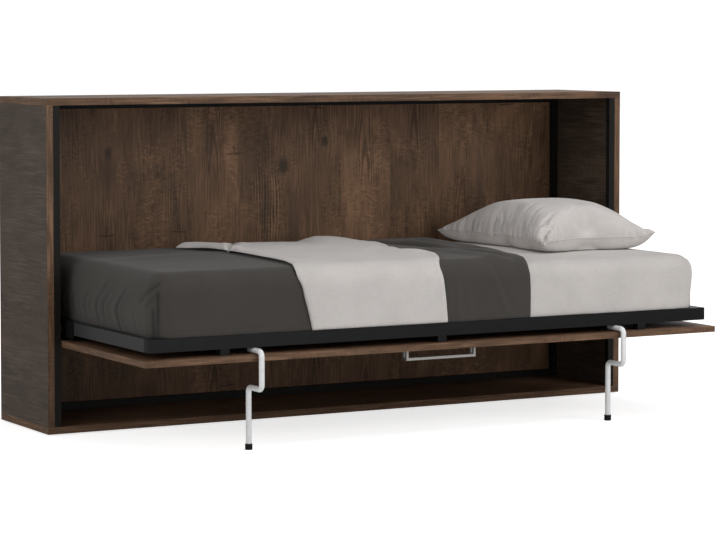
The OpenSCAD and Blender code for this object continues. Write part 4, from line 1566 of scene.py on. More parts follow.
@dataclass
class Mattress(Layer):
    """The mattress: a padded block with ticking and quilted hollows; its hem is its underside."""

    step: float = 0.022
    under: float = 0.012
    quilt: float = 0.0018

    def tufts(self, x: np.ndarray, y: np.ndarray) -> np.ndarray:
        """Give the quilting's pattern.

        Args:
            x: The points' places along the bed.
            y: Their places across it.

        Returns:
            Values from minus one to one.
        """
        return np.sin(x * TURN / 0.16) * np.sin(y * TURN / 0.15)

    def build(self) -> None:
        """Build the mattress."""
        block, deep = self.block, self.deep
        downs = spaced(0.0, deep, self.step, (0.0, 0.05, 0.011), (deep - 0.03, deep, 0.006))[1:]
        xs, ys = spaced(-block.half_l, block.half_l, self.step), spaced(-block.half_w, block.half_w, self.step)
        skin, grid = Skin.box(xs, ys, downs), Skin.box(xs, ys, [])
        x, y, down = skin.flat.T
        quilted = self.quilt * (self.tufts(x, y) - 1.0) * eased(block.half_w - np.abs(y), 0.05, 0.10)
        turned = self.under * (1.0 - rounded(1.0 - (down - deep + self.under) / self.under))
        swell = 0.0010 * cloudy(skin.spread(), (6.0, 6.0, 9.0), 3.3) * (down > 0.0)
        places = block.wrap(skin.flat, 0.0, 0.0, np.where(down > 0.0, 0.0, quilted) - turned + np.minimum(swell, 0.0))
        build = bmesh.new()
        verts = [build.verts.new(p) for p in places]
        cut = build.loops.layers.uv.new("pattern")

        def add(corners: Iterable[bmesh.types.BMVert], places: Iterable[tuple[float, float]]) -> None:
            """Add a face with its pattern places."""
            for loop, uv in zip(build.faces.new(list(corners)).loops, places):
                loop[cut].uv = uv

        for ring, at in zip(skin.faces, skin.pattern):
            add((verts[v] for v in ring), at)
        # The underside joins the sides' lowest points
        rim_at = {tuple(np.round(skin.flat[v][:2] / CLOSE)): verts[v] for pair in skin.rim() for v in pair}
        lows = []
        for spot, plan in zip(grid.flat, block.wrap(grid.flat, 0.0, 0.0)):
            lift = self.quilt * (1.0 + self.tufts(spot[0], spot[1]))
            vert = rim_at.get(tuple(np.round(spot[:2] / CLOSE)))
            lows.append(vert or build.verts.new((plan[0], plan[1], self.hem + lift * 0.5)))
        for ring, at in zip(grid.faces, grid.pattern):
            add((lows[v] for v in reversed(ring)), ((u + 3.0, v) for u, v in reversed(at)))
        smooth_faces(build, 180)
        piece = new_piece("mattress_ticking", mesh_of("mattress_ticking", build), self.look["mattress_ticking"])
        report(piece, "bed", "mattress")


@dataclass
class FittedSheet(Layer):
    """The pale sheet that is stretched over the mattress and gathered under its corners."""

    thick: float = 0.0016
    inside: float = 0.0004
    side_out: float = 0.0013
    above_out: float = 0.0006
    step: float = 0.014

    def build(self) -> None:
        """Build the sheet."""
        block, deep = self.block, self.deep
        xs = spaced(-block.half_l, block.half_l, self.step * 1.6, (0.25, 0.97, self.step))
        ys = spaced(-block.half_w, block.half_w, self.step)
        skin = Skin.box(xs, ys, spaced(0.0, deep, self.step * 0.8)[1:])
        x, y, down = skin.flat.T
        spot = skin.spread()
        from_end, from_side = block.half_l - np.abs(x), block.half_w - np.abs(y)
        pull = (y < 0) * creases(x, -down, (
            (0.0022, 0.42, -0.02, 0.56, -0.15, 0.020, 0.05),
            (0.0016, 0.52, -0.03, 0.66, -0.16, 0.016, 0.05),
            (0.0014, 0.88, -0.02, 0.72, -0.15, 0.020, 0.05),
        ))
        along = np.where(from_side < CLOSE, x, y)
        ripple = np.sin(along * TURN / 0.017 + 3.0 * spot[:, 2])
        gathers = 0.0016 * hump(np.hypot(from_end, from_side), 0.13) * (down / deep) ** 2 * ripple
        soft = 0.0011 * cloudy(spot, (5.0, 5.0, 6.0), 8.1) + 0.0004 * cloudy(spot, (19.0, 19.0, 14.0), 1.7)
        bulge = 0.0016 * hump(down - deep + 0.022, 0.014)
        free = 0.0075 * (x > block.half_l - CLOSE) * hump(down - 0.060, 0.055)
        inward = np.minimum(from_end, from_side) + down
        extra = np.where(down > 0, pull + gathers + bulge + free, 0.0) + soft * eased(inward, 0.0, 0.03)
        side, above = self.side_out + self.thick, self.above_out + self.thick
        outer = block.wrap(skin.flat, side, above, np.maximum(extra, -self.above_out))
        mesh = skin.mesh("fitted_sheet_cotton", outer, block.wrap(skin.flat, self.inside, self.inside))
        piece = new_piece("fitted_sheet_cotton", mesh, self.look["pale_sheet"])
        report(piece, "bed", "fitted_sheet")
        long, wide = 2 * (block.half_l + deep), 2 * (block.half_w + deep)
        area = wide * long - 4 * deep * deep


@dataclass
class DarkCover(Layer):
    """The charcoal bedspread over the left two thirds, with its wrinkled end and mitred corners, and painted shade
    along their creases.
    """

    side_in: float = 0.0026
    side_out: float = 0.0066
    above_in: float = 0.0028
    above_out: float = 0.0213
    step: float = 0.0085
    hem_band: float = 0.022
    right: float = 0.36
    flat_right: float = 0.40
    roll: float = 0.030

    def build(self) -> None:
        """Build the cover and the stitches of its hem."""
        block, deep = self.block, self.deep
        end = edge_line(
            (-0.64, 0.324), (-0.54, 0.325), (-0.46, 0.321), (-0.41, 0.334), (-0.37, 0.346), (-0.29, 0.352),
            (-0.11, 0.400), (0.065, 0.444), (0.335, 0.465), (0.45, 0.470), (0.64, 0.468),
        )
        xs = spaced(-block.half_l, self.right, self.step, (-0.97, -0.90, 0.0040))
        ys = spaced(-block.half_w, block.half_w, self.step, (-0.45, 0.45, 0.0058))
        downs = spaced(0.0, deep, self.step)[1:]
        skin = Skin.box(xs, ys, downs, closed=False)
        across = block.across(skin.flat)
        stretch = (end(across) + block.half_l) / (self.right + block.half_l)
        skin.flat[:, 0] = (skin.flat[:, 0] + block.half_l) * stretch - block.half_l
        x, y, down = skin.flat.T
        spot = skin.spread()
        to_end, low = end(across) - x, down / deep
        flat_top = eased(block.half_w - np.abs(y), 0.0, 0.05) * (down <= 0)
        # Soft folds of the top, right and left of the throw, and of the front
        folds = 1.60 * creases(x, y, (
            (0.0060, 0.183, -0.098, 0.215, -0.400, 0.030),
            (-0.0065, 0.214, 0.32, 0.290, -0.05, 0.022),
            (-0.0045, 0.247, 0.23, 0.330, -0.10, 0.018),
            (0.0050, 0.300, 0.25, 0.300, -0.30, 0.024),
            (0.0040, 0.385, 0.30, 0.345, -0.36, 0.020),
            (-0.0040, 0.255, -0.16, 0.275, -0.42, 0.018),
            (0.0018, -0.80, 0.068, -0.48, 0.147, 0.045, 0.12),
            (-0.0012, -0.85, 0.16, -0.52, 0.25, 0.040, 0.12),
        )) * flat_top * eased(to_end, 0.0, 0.03)
        drape = upright(x, low, (
            (0.0030, 0.052, 0.012, 0.010, 0.10, 0.50),
            (0.0022, 0.083, 0.02, 0.014, 0.0, 0.7),
            (0.0016, 0.19, -0.03, 0.022, 0.0, 0.6),
            (0.0014, -0.62, -0.04, 0.030, 0.0, 0.8),
            (0.0010, -0.76, 0.0, 0.035, 0.1, 0.9),
        )) + creases(x, -low, (
            (0.0024, 0.170, -0.02, 0.235, -0.85, 0.011, 0.1),
            (-0.0018, 0.190, -0.05, 0.255, -0.75, 0.010, 0.1),
        ))
        left = (x < -block.half_l + CLOSE).astype(float)
        front = (y < -block.half_w + CLOSE).astype(float) * (1 - left)
        # Heights of the end's wrinkles and corner pleats, each with a mask of painted shade along them
        ends, lines = self.end_wrinkles(y, low)
        corner, pleat_shade = self.corner_pleats(x, y, low)
        soft = 0.0016 * cloudy(spot, (3.5, 4.5, 5.0), 21.4) + 0.0006 * cloudy(spot, (13.0, 15.0, 9.0), 5.9)
        near = skin.edge_distance(0.03)
        band = 0.0007 * (1.0 - eased(near, self.hem_band - 0.002, self.hem_band))
        extra = folds + ends * left + drape * front + corner + soft * eased(near, 0.0, 0.02) + band
        # The right edge rolls down to the sheet
        fall = (self.above_out - self.above_in - 0.0035) * (1.0 - rounded(to_end / self.roll))
        weight = np.cos(block.tip(block.half_w - np.abs(y), down)) ** 2
        outer = block.wrap(skin.flat, self.side_out, self.above_out, extra - fall * weight)
        mesh = skin.mesh("dark_cover_cloth", outer, block.wrap(skin.flat, self.side_in, self.above_in))
        # Painted shade: dark lines along the end's wrinkles and the corner pleats, kept as a point attribute that
        # darkens the cover's colour
        crease_shade_marks = np.zeros(len(mesh.vertices))
        crease_shade_marks[: len(x)] = np.clip(lines * left + pleat_shade, 0.0, 1.0)
        mesh.attributes.new("crease", "FLOAT", "POINT").data.foreach_set("value", crease_shade_marks)
        piece = new_piece("dark_cover_cloth", mesh, self.look["charcoal_cover"])
        report(piece, "bed", "dark_cover")
        wide, long = 2 * (block.half_w + deep), block.half_l + self.flat_right + deep
        area = wide * long - 2 * deep * deep
        # The hem's stitches go round the front, the left end and the back
        ring = np.flatnonzero((np.abs(down - downs[-3]) < CLOSE) & (to_end > 0.020))
        round_end = block.half_l + 0.001 + y + block.half_w
        turn = np.where(left > 0.0, round_end, 3.0 * block.half_l + x)
        turn = np.where(y < -block.half_w + CLOSE, -x, turn)
        line = outer[ring[np.argsort(turn[ring])]]
        sew("dark_cover_stitches", line, False, self.look["charcoal_thread"])

    def end_wrinkles(self, y: np.ndarray, low: np.ndarray) -> tuple[np.ndarray, np.ndarray]:
        """Give the upright wrinkles of the left end.

        Args:
            y: The points' places across the bed.
            low: Their share of the way down to the hem.

        Returns:
            Heights in metres, and how much painted shade each point gets along the creases, from 0 to 1.
        """
        lines = np.zeros(len(y))
        made = 0.0045 * hump(low - 0.45, 0.4)
        past = low - 0.62
        lean = 0.20 * np.sqrt(past * past + 0.02) - 0.06 * past - 0.028
        for place, deep, start, end in (
            (-0.310, 0.0030, 0.55, 1.10), (-0.188, 0.0090, 0.12, 1.10), (-0.089, 0.0055, 0.24, 0.92),
            (-0.035, 0.0075, 0.02, 1.06), (0.010, 0.0025, 0.45, 0.90), (0.055, 0.0065, 0.22, 1.00),
            (0.146, 0.0060, 0.26, 1.00), (0.235, 0.0040, 0.25, 0.95), (0.335, 0.0035, 0.25, 0.95),
        ):
            off = y - place + lean
            part = eased(low, start, start + 0.26) * eased(low, end, end - 0.26)
            ridges = 0.45 * hump(off + 0.020, 0.018) + 0.30 * hump(off - 0.018, 0.016)
            made += deep * part * (ridges - 0.50 * hump(off, 0.008))
            # Painted shade along the furrow of each wrinkle
            lines += part * (deep / 0.009) * hump(off, 0.0058)
        # Folds run from the front corner's top down into the end, with painted shade along them
        drop = 0.19 * low
        for dark, *line in ((0.75, -0.478, -0.010, -0.372, 0.068), (0.50, -0.462, 0.034, -0.408, 0.084)):
            made -= creases(y, drop, [(0.0050 * dark, *line, 0.010, 0.022)])
            lines += creases(y, drop, [(dark, *line, 0.0060, 0.020)])
        return made, lines

    def corner_pleats(self, x: np.ndarray, y: np.ndarray, low: np.ndarray) -> tuple[np.ndarray, np.ndarray]:
        """Give the two mitred pleats at the corners of the left end.

        Args:
            x: The points' places along the bed.
            y: Their places across it.
            low: Their share of the way down to the hem.

        Returns:
            Heights in metres, and how much painted shade each point gets along the pleats, from 0 to 1.
        """
        reach = np.where(x > -self.block.half_l + CLOSE, x + self.block.half_l, np.abs(y) - self.block.half_w)
        side = (low > 0.0) * (np.abs(y) > self.block.half_w - 0.10) * (x < 0.10 - self.block.half_l)
        made = 0.0030 * hump(reach, 0.045) * eased(low, 0.06, 0.30)
        lines = np.zeros(len(x))
        for place, start in ((-0.017, 0.42), (0.004 - 0.008 * low, 0.14)):
            part = eased(low, start, start + 0.14) * hump(reach - place, 0.0048)
            made -= 0.0034 * part
            # Painted shade along each pleat's fold
            lines += 0.9 * part
        return made * side, lines * side


@dataclass
class PaleThrow(Layer):
    """The pale throw laid across the cover, with rolled edges, a hump behind and a smooth front."""

    side_in: float = 0.0070
    above_in: float = 0.0217
    thick: float = 0.0060
    step: float = 0.0055
    back: float = 0.3385
    wide: float = 0.62
    flat_wide: float = 0.70
    seam_rows: int = 4
    seam_columns: int = 9

    def build(self) -> None:
        """Build the throw and its hem."""
        block, deep = self.block, self.deep
        left = edge_line(
            (-0.64, -0.455), (-0.6167, -0.456), (-0.565, -0.468), (-0.52, -0.482), (-0.482, -0.489), (-0.448, -0.510),
            (-0.40, -0.499), (-0.3225, -0.483), (-0.241, -0.474), (-0.107, -0.465), (0.03, -0.456), (0.128, -0.458),
            (0.214, -0.460), (0.27, -0.470), (0.305, -0.495), (0.325, -0.525), (0.36, -0.555),
        )
        right = edge_line(
            (-0.64, 0.018), (-0.6167, 0.016), (-0.55, 0.010), (-0.482, 0.001), (-0.44, -0.008), (-0.40, 0.022),
            (-0.32, 0.056), (-0.2135, 0.066), (-0.1365, 0.052), (-0.0035, 0.075), (0.2545, 0.149), (0.3385, 0.165),
        )
        rows = spaced(-block.half_w - deep, self.back, self.step, (0.09, self.back, 0.0035))[::-1]
        skin = Skin.strip(block, left, right, rows, int(self.wide / self.step))
        across = block.across(skin.flat)
        x, _, down = skin.flat.T
        spot = skin.spread()
        from_left, from_right = x - left(across), right(across) - x
        top = eased(across, -0.475, -0.42)
        height = self.top_height(x, across, from_left, from_right) * top
        low = down / deep
        drape = 0.0020 + upright(from_left, low, [(0.0030, 0.012, 0.0, 0.014, 0.0, 0.4)])
        drape += upright(from_right, low, [(0.0030, 0.014, 0.0, 0.016, 0.0, 0.4)])
        drape += upright(x, low, (
            (0.0022, -0.05, -0.02, 0.035, 0.15, 0.8),
            (0.0016, -0.24, 0.0, 0.060, 0.2, 1.0),
            (0.0014, -0.37, 0.03, 0.040, 0.2, 1.0),
        ))
        near = skin.edge_distance(0.04)
        soft = 0.0011 * cloudy(spot, (4.0, 4.0, 4.0), 14.2) + 0.0004 * cloudy(spot, (15.0, 17.0, 9.0), 2.5)
        band = 0.0006 * (1.0 - eased(near, 0.018, 0.020)) - 0.0014 * (1.0 - rounded(near / 0.009))
        extra = height + drape * (1.0 - top) + soft * eased(near, 0.0, 0.03) + band
        outer = block.wrap(skin.flat, self.side_in + self.thick, self.above_in + self.thick, extra)
        hollow = (0.0092 - 0.0040 * eased(across, 0.22, 0.34)) * (1.0 - eased(from_left, 0.0, 0.05)) * top
        mesh = skin.mesh("pale_throw_cloth", outer, block.wrap(skin.flat, self.side_in, self.above_in, hollow))
        piece = new_piece("pale_throw_cloth", mesh, self.look["pale_throw"])
        report(piece, "bed", "pale_throw")
        q = np.array(rows)
        width = right(q) - left(q)
        area = float(np.sum((width[1:] + width[:-1]) / 2 * np.abs(np.diff(q))))
        flat = (self.flat_wide, self.back + block.half_w + deep)
        grid = outer.reshape(len(rows), -1, 3)
        near, far = self.seam_rows, self.seam_columns
        sides = grid[near:-near, far], grid[-near - 1, far + 1:-far - 1]
        backs = grid[near:-near, -far - 1][::-1], grid[near, far + 1:-far - 1][::-1]
        sew("pale_throw_stitches", np.concatenate([*sides, *backs]), True, self.look["pale_thread"])

    def top_height(self, x: np.ndarray, q: np.ndarray, from_left: np.ndarray, from_right: np.ndarray) -> np.ndarray:
        """Give how far the throw stands up over the top of the bed.

        Args:
            x: The points' places along the bed.
            q: Their places across it.
            from_left: Their distances from the left edge.
            from_right: Their distances from the right edge.

        Returns:
            Heights in metres over the throw's own thickness.
        """
        # The back edge's outline, which fades towards the front
        outline = np.interp(x, *zip(
            (-0.545, 0.003), (-0.527, 0.010), (-0.515, 0.015), (-0.481, 0.017), (-0.440, 0.014), (-0.398, 0.011),
            (-0.364, 0.006), (-0.327, 0.0085), (-0.220, 0.007), (-0.091, 0.0036), (-0.065, 0.012), (-0.026, 0.020),
            (0.017, 0.019), (0.061, 0.015), (0.091, 0.010), (0.137, 0.0005), (0.187, -0.003),
        ))
        behind = (q + 0.06) * 0.66 + (x + 0.40) * 0.75
        rise = -0.0030 + 0.0085 * eased(behind, -0.06, 0.20)
        rise += 0.0030 * eased(-behind, 0.0, 0.16)
        rise += (outline - 0.0060) * eased(q, 0.150, 0.315)
        rise += creases(x, q, ((0.0035, -0.09, -0.12, 0.03, 0.03, 0.018), (-0.0030, -0.05, -0.13, 0.06, 0.00, 0.014)))
        rise += 0.0085 * hump(from_right - 0.045, 0.05) * hump(q + 0.225, 0.085)
        rise -= 0.0030 * hump(from_right, 0.05) * hump(q + 0.11, 0.045)
        # The left edge is turned under: a round roll, high at the back and pinched in one place
        wide = np.interp(q, *zip(
            (-0.45, 0.012), (-0.40, 0.016), (-0.105, 0.030), (0.05, 0.034), (0.12, 0.028), (0.20, 0.034), (0.27, 0.036),
            (0.34, 0.030),
        ))
        high = np.interp(q, *zip(
            (-0.42, 0.006), (-0.30, 0.0085), (-0.105, 0.0115), (0.05, 0.0125), (0.085, 0.0115), (0.112, 0.0060),
            (0.145, 0.0145), (0.22, 0.0165), (0.34, 0.0165),
        ))
        share = np.clip(from_left / wide, 0.0, 1.0)
        roll = rounded(share) * 0.55 + 0.45 * eased(share, 0.0, 1.0)
        over = 1.0 - eased(from_left, wide, wide + 0.075)
        pinch = creases(x, q, (
            (-0.0125, -0.465, 0.100, -0.352, 0.300, 0.0062, 0.05),
            (0.0045, -0.440, 0.085, -0.325, 0.280, 0.011, 0.05),
            (0.0030, -0.462, 0.145, -0.365, 0.305, 0.009, 0.05),
        ))
        foot = 0.0005 + 0.0036 * eased(q, -0.42, -0.32) * eased(q, 0.34, 0.22)
        surface = rise * (1.0 - over) + high * over
        return foot + (surface - foot) * roll + pinch * eased(from_left, -0.001, 0.005)


@dataclass
class Pillow:
    """The pillow: two sewn panels blown up by simulation, gathered at the left and piped at the seam."""

    look: Look
    low: Vector
    high: Vector
    cut_wide: float = 0.500
    cut_long: float = 0.720
    faces_wide: int = 74
    faces_long: int = 106
    plump: float = 0.050
    pressure: float = 4.5
    frames: int = 22
    cap: float = 0.080
    seam_share: float = 0.27
    fullness: float = 1.05
    slope: float = 0.30
    piping: float = 0.0017
    calm: float = 0.5
    calm_rounds: int = 24
    under: float = 0.0006
    clear: float = 0.0003
    fill: float = 0.55
    folded: float = 0.529

    def build(self) -> None:
        """Build the pillow and its piping."""
        mesh, seam = self.panels()
        piece = new_piece("pillow_case", mesh, self.look["pale_pillowcase"])
        self.blow_up(piece)
        self.move(piece, self.fit(self.points(piece)))
        smooth = piece.modifiers.new("round", "SUBSURF")
        smooth.levels = smooth.render_levels = 1
        settle(piece)
        normals = np.array([v.normal for v in piece.data.vertices])
        places = self.points(piece)
        self.move(piece, self.ears(places + normals * self.gathers(places)[:, None]))
        line = [tuple(piece.data.vertices[i].co) for i in seam]
        report(piece, "bed", "pillow")
        edge = path_piece("pillow_piping", line, closed=True)
        sizes = {"Bar_radius": self.piping, "Bend_radius": 0.0, "Bend_steps": 1, "Sides": 8}
        tube_tree().grow(edge, Finish=self.look["pale_pillowcase"], **sizes)
        report(edge, "bed")
        middle = (self.low + self.high) / 2
        for part in (piece, edge):
            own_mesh(part)

    def points(self, piece: bpy.types.Object) -> np.ndarray:
        """Read a piece's points.

        Args:
            piece: The piece.

        Returns:
            Their places, as rows of three.
        """
        return np.array([v.co for v in piece.data.vertices])

    def move(self, piece: bpy.types.Object, places: np.ndarray) -> None:
        """Move a piece's points.

        Args:
            piece: The piece.
            places: Their new places, as rows of three.
        """
        piece.data.vertices.foreach_set("co", places.ravel())
        piece.data.update()

    def panels(self) -> tuple[bpy.types.Mesh, list[int]]:
        """Sew two flat panels together, a little plumped.

        Returns:
            The closed mesh and the numbers of its seam's points, in order.
        """
        n, m = self.faces_wide, self.faces_long
        places, upper, lower = [], {}, {}
        for j in range(m + 1):
            for i in range(n + 1):
                u, v = 2 * i / n - 1, 2 * j / m - 1
                rise = self.plump * (max(0.0, 1 - abs(u) ** 2.4) * max(0.0, 1 - abs(v) ** 2.6)) ** 0.6
                x, y = u * self.cut_wide / 2, v * self.cut_long / 2
                upper[i, j] = lower[i, j] = len(places)
                places.append((x, y, rise))
                if 0 < i < n and 0 < j < m:
                    lower[i, j] = len(places)
                    places.append((x, y, -rise))
        faces, cuts = [], []
        for j in range(m):
            for i in range(n):
                ring = [(i, j), (i + 1, j), (i + 1, j + 1), (i, j + 1)]
                cut = [(a / n * self.cut_wide, b / m * self.cut_long) for a, b in ring]
                faces += [tuple(upper[k] for k in ring), tuple(lower[k] for k in ring[::-1])]
                cuts += cut + [(a + 0.6, b) for a, b in cut[::-1]]
        mesh = bpy.data.meshes.new("pillow_case")
        mesh.from_pydata(places, [], faces)
        mesh.uv_layers.new(name="pattern").data.foreach_set("uv", np.array(cuts, np.float32).ravel())
        mesh.polygons.foreach_set("use_smooth", [True] * len(mesh.polygons))
        mesh.update()
        around = [(i, 0) for i in range(n)] + [(n, j) for j in range(m)]
        around += [(i, m) for i in range(n, 0, -1)] + [(0, j) for j in range(m, 0, -1)]
        return mesh, [upper[k] for k in around]

    def blow_up(self, piece: bpy.types.Object) -> None:
        """Fill the case by cloth simulation, and cap how far its points move.

        Args:
            piece: The pillow.
        """
        before = self.points(piece)
        cloth = piece.modifiers.new("fill", "CLOTH")
        for key, value in {
            "quality": 6, "mass": 0.25, "bending_stiffness": 0.35, "shear_stiffness": 8.0, "tension_stiffness": 22.0,
            "compression_stiffness": 22.0, "tension_damping": 12.0, "compression_damping": 12.0,
            "use_pressure": True, "uniform_pressure_force": self.pressure,
        }.items():
            setattr(cloth.settings, key, value)
        cloth.settings.effector_weights.gravity = 0.0
        cloth.collision_settings.use_collision = False
        cloth.point_cache.frame_start, cloth.point_cache.frame_end = 1, self.frames
        scene = bpy.context.scene
        for number in range(1, self.frames + 1):
            scene.frame_set(number)
        settle(piece)
        scene.frame_set(1)
        move = self.points(piece) - before
        far = np.linalg.norm(move, axis=1)
        log.info("pillow points moved %.1f mm at most", far.max() * 1000)
        share = np.minimum(1.0, self.cap / np.maximum(far, TINY))
        self.move(piece, before + move * share[:, None])
        calm = piece.modifiers.new("calm", "SMOOTH")
        calm.factor, calm.iterations = self.calm, self.calm_rounds
        settle(piece)

    def fit(self, co: np.ndarray) -> np.ndarray:
        """Set the pillow in its place: flat below where it lies, with its seam low on its sides.

        Args:
            co: The points.

        Returns:
            Their new places.
        """
        size = co.max(axis=0) - co.min(axis=0)
        log.info("filled pillow measures %.3f x %.3f x %.3f m", *size)
        room, middle = np.array(self.high - self.low), np.array((self.low + self.high) / 2)
        co[:, :2] -= (co.max(axis=0) + co.min(axis=0))[:2] / 2
        co[:, :2] *= room[:2] / size[:2]
        top = co[:, 2].max()
        crown = (1.0 - self.seam_share) * room[2] / top
        floor = self.seam_share * room[2] - self.under
        sunk = floor * np.tanh(np.abs(co[:, 2]) * crown * 1.2 / floor * 1.15) / math.tanh(2.6)
        back = np.clip(2.0 * co[:, 1] / room[1], 0.0, 1.0)
        full = top * np.clip(co[:, 2] / top, 0.0, 1.0) ** self.fullness * (1.0 - self.slope * back ** 1.6)
        co[:, 2] = np.where(co[:, 2] >= 0.0, full * crown, -np.minimum(sunk, floor))
        co += (middle[0], middle[1], self.low[2] + self.seam_share * room[2])
        return co

    def gathers(self, co: np.ndarray) -> np.ndarray:
        """Give the gathers at the left side and the soft folds of the top.

        Args:
            co: The points.

        Returns:
            How far each one moves along its normal, in metres.
        """
        room, low = np.array(self.high - self.low), np.array(self.low)
        share = (co - low) / room
        from_left, from_front = (co - low)[:, :2].T
        upper = eased(share[:, 2], self.seam_share - 0.06, self.seam_share + 0.02)
        made = np.zeros(len(co))

        def beside(off: np.ndarray, wide: float) -> np.ndarray:
            """Give the two ridges beside a furrow."""
            return hump(off - 1.7 * wide, wide) + hump(off + 1.7 * wide, wide)

        # Gathers: furrows of many lengths that run up from the left seam, deepest near the front corner
        for place, deep, wide, reach, lean in (
            (0.03, 0.0130, 0.012, 0.070, 0.30), (0.07, 0.0060, 0.007, 0.050, 0.10), (0.105, 0.0090, 0.009, 0.110, 0.25),
            (0.15, 0.0080, 0.008, 0.085, 0.0), (0.19, 0.0050, 0.006, 0.060, 0.20), (0.235, 0.0040, 0.010, 0.150, 0.10),
            (0.33, 0.0045, 0.008, 0.070, -0.2), (0.39, 0.0085, 0.011, 0.120, -0.45), (0.43, 0.0060, 0.008, 0.090, 0.15),
            (0.48, 0.0035, 0.007, 0.060, 0.0), (0.58, 0.0055, 0.009, 0.085, 0.25), (0.625, 0.0075, 0.009, 0.075, -0.15),
            (0.69, 0.0035, 0.008, 0.055, 0.0), (0.78, 0.0045, 0.010, 0.070, 0.10), (0.86, 0.0030, 0.009, 0.055, 0.0),
        ):
            wander = 0.012 * np.sin(40.0 * from_left + 60.0 * place) - lean * from_left
            off = (share[:, 1] - place + wander) * room[1]
            fall = eased(from_left, reach * 1.1, 0.010) * eased(from_left, -0.004, 0.003) * upper
            furrow = np.exp(-np.abs(off) / (wide * (0.40 + 0.6 * from_left / reach)))
            made += deep * (0.80 * beside(off, wide) - 1.75 * furrow) * fall
        # The same at the front seam, next to its corners, and one deep tuck out of the front left corner
        for place, deep, wide, reach, lean in (
            (0.035, 0.0110, 0.009, 0.060, 0.15), (0.085, 0.0080, 0.008, 0.050, 0.10), (0.13, 0.0055, 0.008, 0.060, 0.0),
            (0.2, 0.0035, 0.010, 0.080, -0.10), (0.88, 0.0040, 0.010, 0.070, 0.10), (0.95, 0.0065, 0.009, 0.060, -0.20),
        ):
            off = (share[:, 0] - place - lean * from_front) * room[0]
            fall = eased(from_front, reach, 0.008) * eased(from_front, -0.004, 0.003) * upper
            made += deep * (0.5 * beside(off, wide) - np.exp(-np.abs(off) / (0.6 * wide))) * fall
        made += creases(from_left, from_front, [(-0.0080, 0.010, 0.010, 0.050, 0.055, 0.0070, 0.03)]) * upper
        # Soft folds across the top, and puckers along the other seams
        crown = eased(share[:, 2], self.seam_share + 0.04, self.seam_share + 0.30)
        for place, deep, wide, start, reach in (
            (0.42, 0.0045, 0.018, 0.02, 0.26), (0.52, -0.0050, 0.020, 0.03, 0.22), (0.60, 0.0030, 0.015, 0.0, 0.16),
            (0.80, 0.0022, 0.020, 0.0, 0.12),
        ):
            off = (share[:, 0] - place + 0.30 * (from_front - 0.1)) * room[0]
            run = eased(from_front, start, start + 0.05) * eased(from_front, reach, reach * 0.4)
            made += 0.7 * deep * hump(off, wide) * run * crown
        to_side, to_end = (np.minimum(share, 1 - share) * room)[:, :2].T
        edge, run = np.minimum(to_side, to_end), np.where(to_end < to_side, co[:, 0], co[:, 1])
        made += 0.0011 * np.sin(run * TURN / 0.031 + 1.4 * np.sin(run * 37.0)) * hump(edge - 0.012, 0.018)
        made += 0.0016 * cloudy(co, (6.0, 6.0, 6.0), 31.0) * eased(edge, 0.0, 0.05)
        return np.where(share[:, 2] < self.seam_share - 0.01, made * 0.3, made)

    def ears(self, co: np.ndarray) -> np.ndarray:
        """Pull the corners out to small ears, over the sheet; the one at the front right curls up.

        Args:
            co: The points.

        Returns:
            Their new places.
        """
        for right, back, out, lift in (
            (1, 0, 0.016, 0.014), (0, 1, 0.014, -0.004), (0, 0, 0.006, -0.008), (1, 1, 0.012, 0.004)
        ):
            corner = ((self.low, self.high)[right][0], (self.low, self.high)[back][1])
            near = hump(np.hypot(*(co[:, :2] - corner).T), 0.034)
            co[:, :2] += near[:, None] * out * np.array([right - 0.5, back - 0.5]) * math.sqrt(2.0)
            co[:, 2] += near * lift
        co[:, 2] = np.maximum(co[:, 2], self.low[2] + self.clear)
        return co


# Sub-assemblies ----------------------------------------------------------------------------


@dataclass
class Cabinet:
    """The wooden cabinet and the steel in it."""

    look: Look
    fixings: Fixings
    board_edge: float = 0.0009
    steel_edge: float = 0.0009

    def build(self) -> None:
        """Build every piece of the cabinet."""
        look = self.look
        front, right, left = (0.0, -1.0, 0.0), (1.0, 0.0, 0.0), (-1.0, 0.0, 0.0)
        for side in ("left", "right"):
            self.board(f"{side}_side_board", "smoked_oak_side", ("edge_band_upright", front))
            for node in ("front_post", "rear_post", "pivot_block"):
                self.steel(f"{side}_{node}")
        for node in ("top_board", "bottom_board"):
            bands = ("edge_band_level", front), ("edge_band_end", right), ("edge_band_end", left)
            self.board(node, "smoked_oak_board", *bands)
        self.board("back_panel", "smoked_oak_back")
        for node in ("rear_top_rail", "rear_bottom_rail"):
            self.steel(node)
        for node, suffix, radius, finish, slot in (
            ("carcass_dowels", "beech", 0.0006, "beech_dowels", "beech"),
            ("pivot_bushes", "turned", 0.0004, "bush_moulding", "bush_plastic"),
            ("strut_wall_studs", "turned", 0.0005, "zinc_plate", "zinc_steel"),
            ("floor_glides", "moulded", 0.0006, "black_moulding", "black_plastic"),
        ):
            dress(node, suffix, radius, look[finish], "cabinet")
        for node in ("post_screws", "pivot_block_screws"):
            self.fixings.screws(node, "cabinet", look["zinc_plate"])

    def board(self, node: str, finish: str, *bands: tuple[str, Point]) -> None:
        """Build a board with eased edges and edge bands.

        Args:
            node: The CAD node.
            finish: Its faces' finish.
            *bands: Its edge bands' finishes, each with the way that it faces.
        """
        piece = dress(node, "oak", self.board_edge, self.look[finish], "cabinet")
        edge_bands(piece, [(self.look[band], facing) for band, facing in bands])

    def steel(self, node: str) -> None:
        """Build a steel tube or block with rounded edges.

        Args:
            node: The CAD node.
        """
        dress(node, "coated", self.steel_edge, self.look["black_powder_coat"], "cabinet")


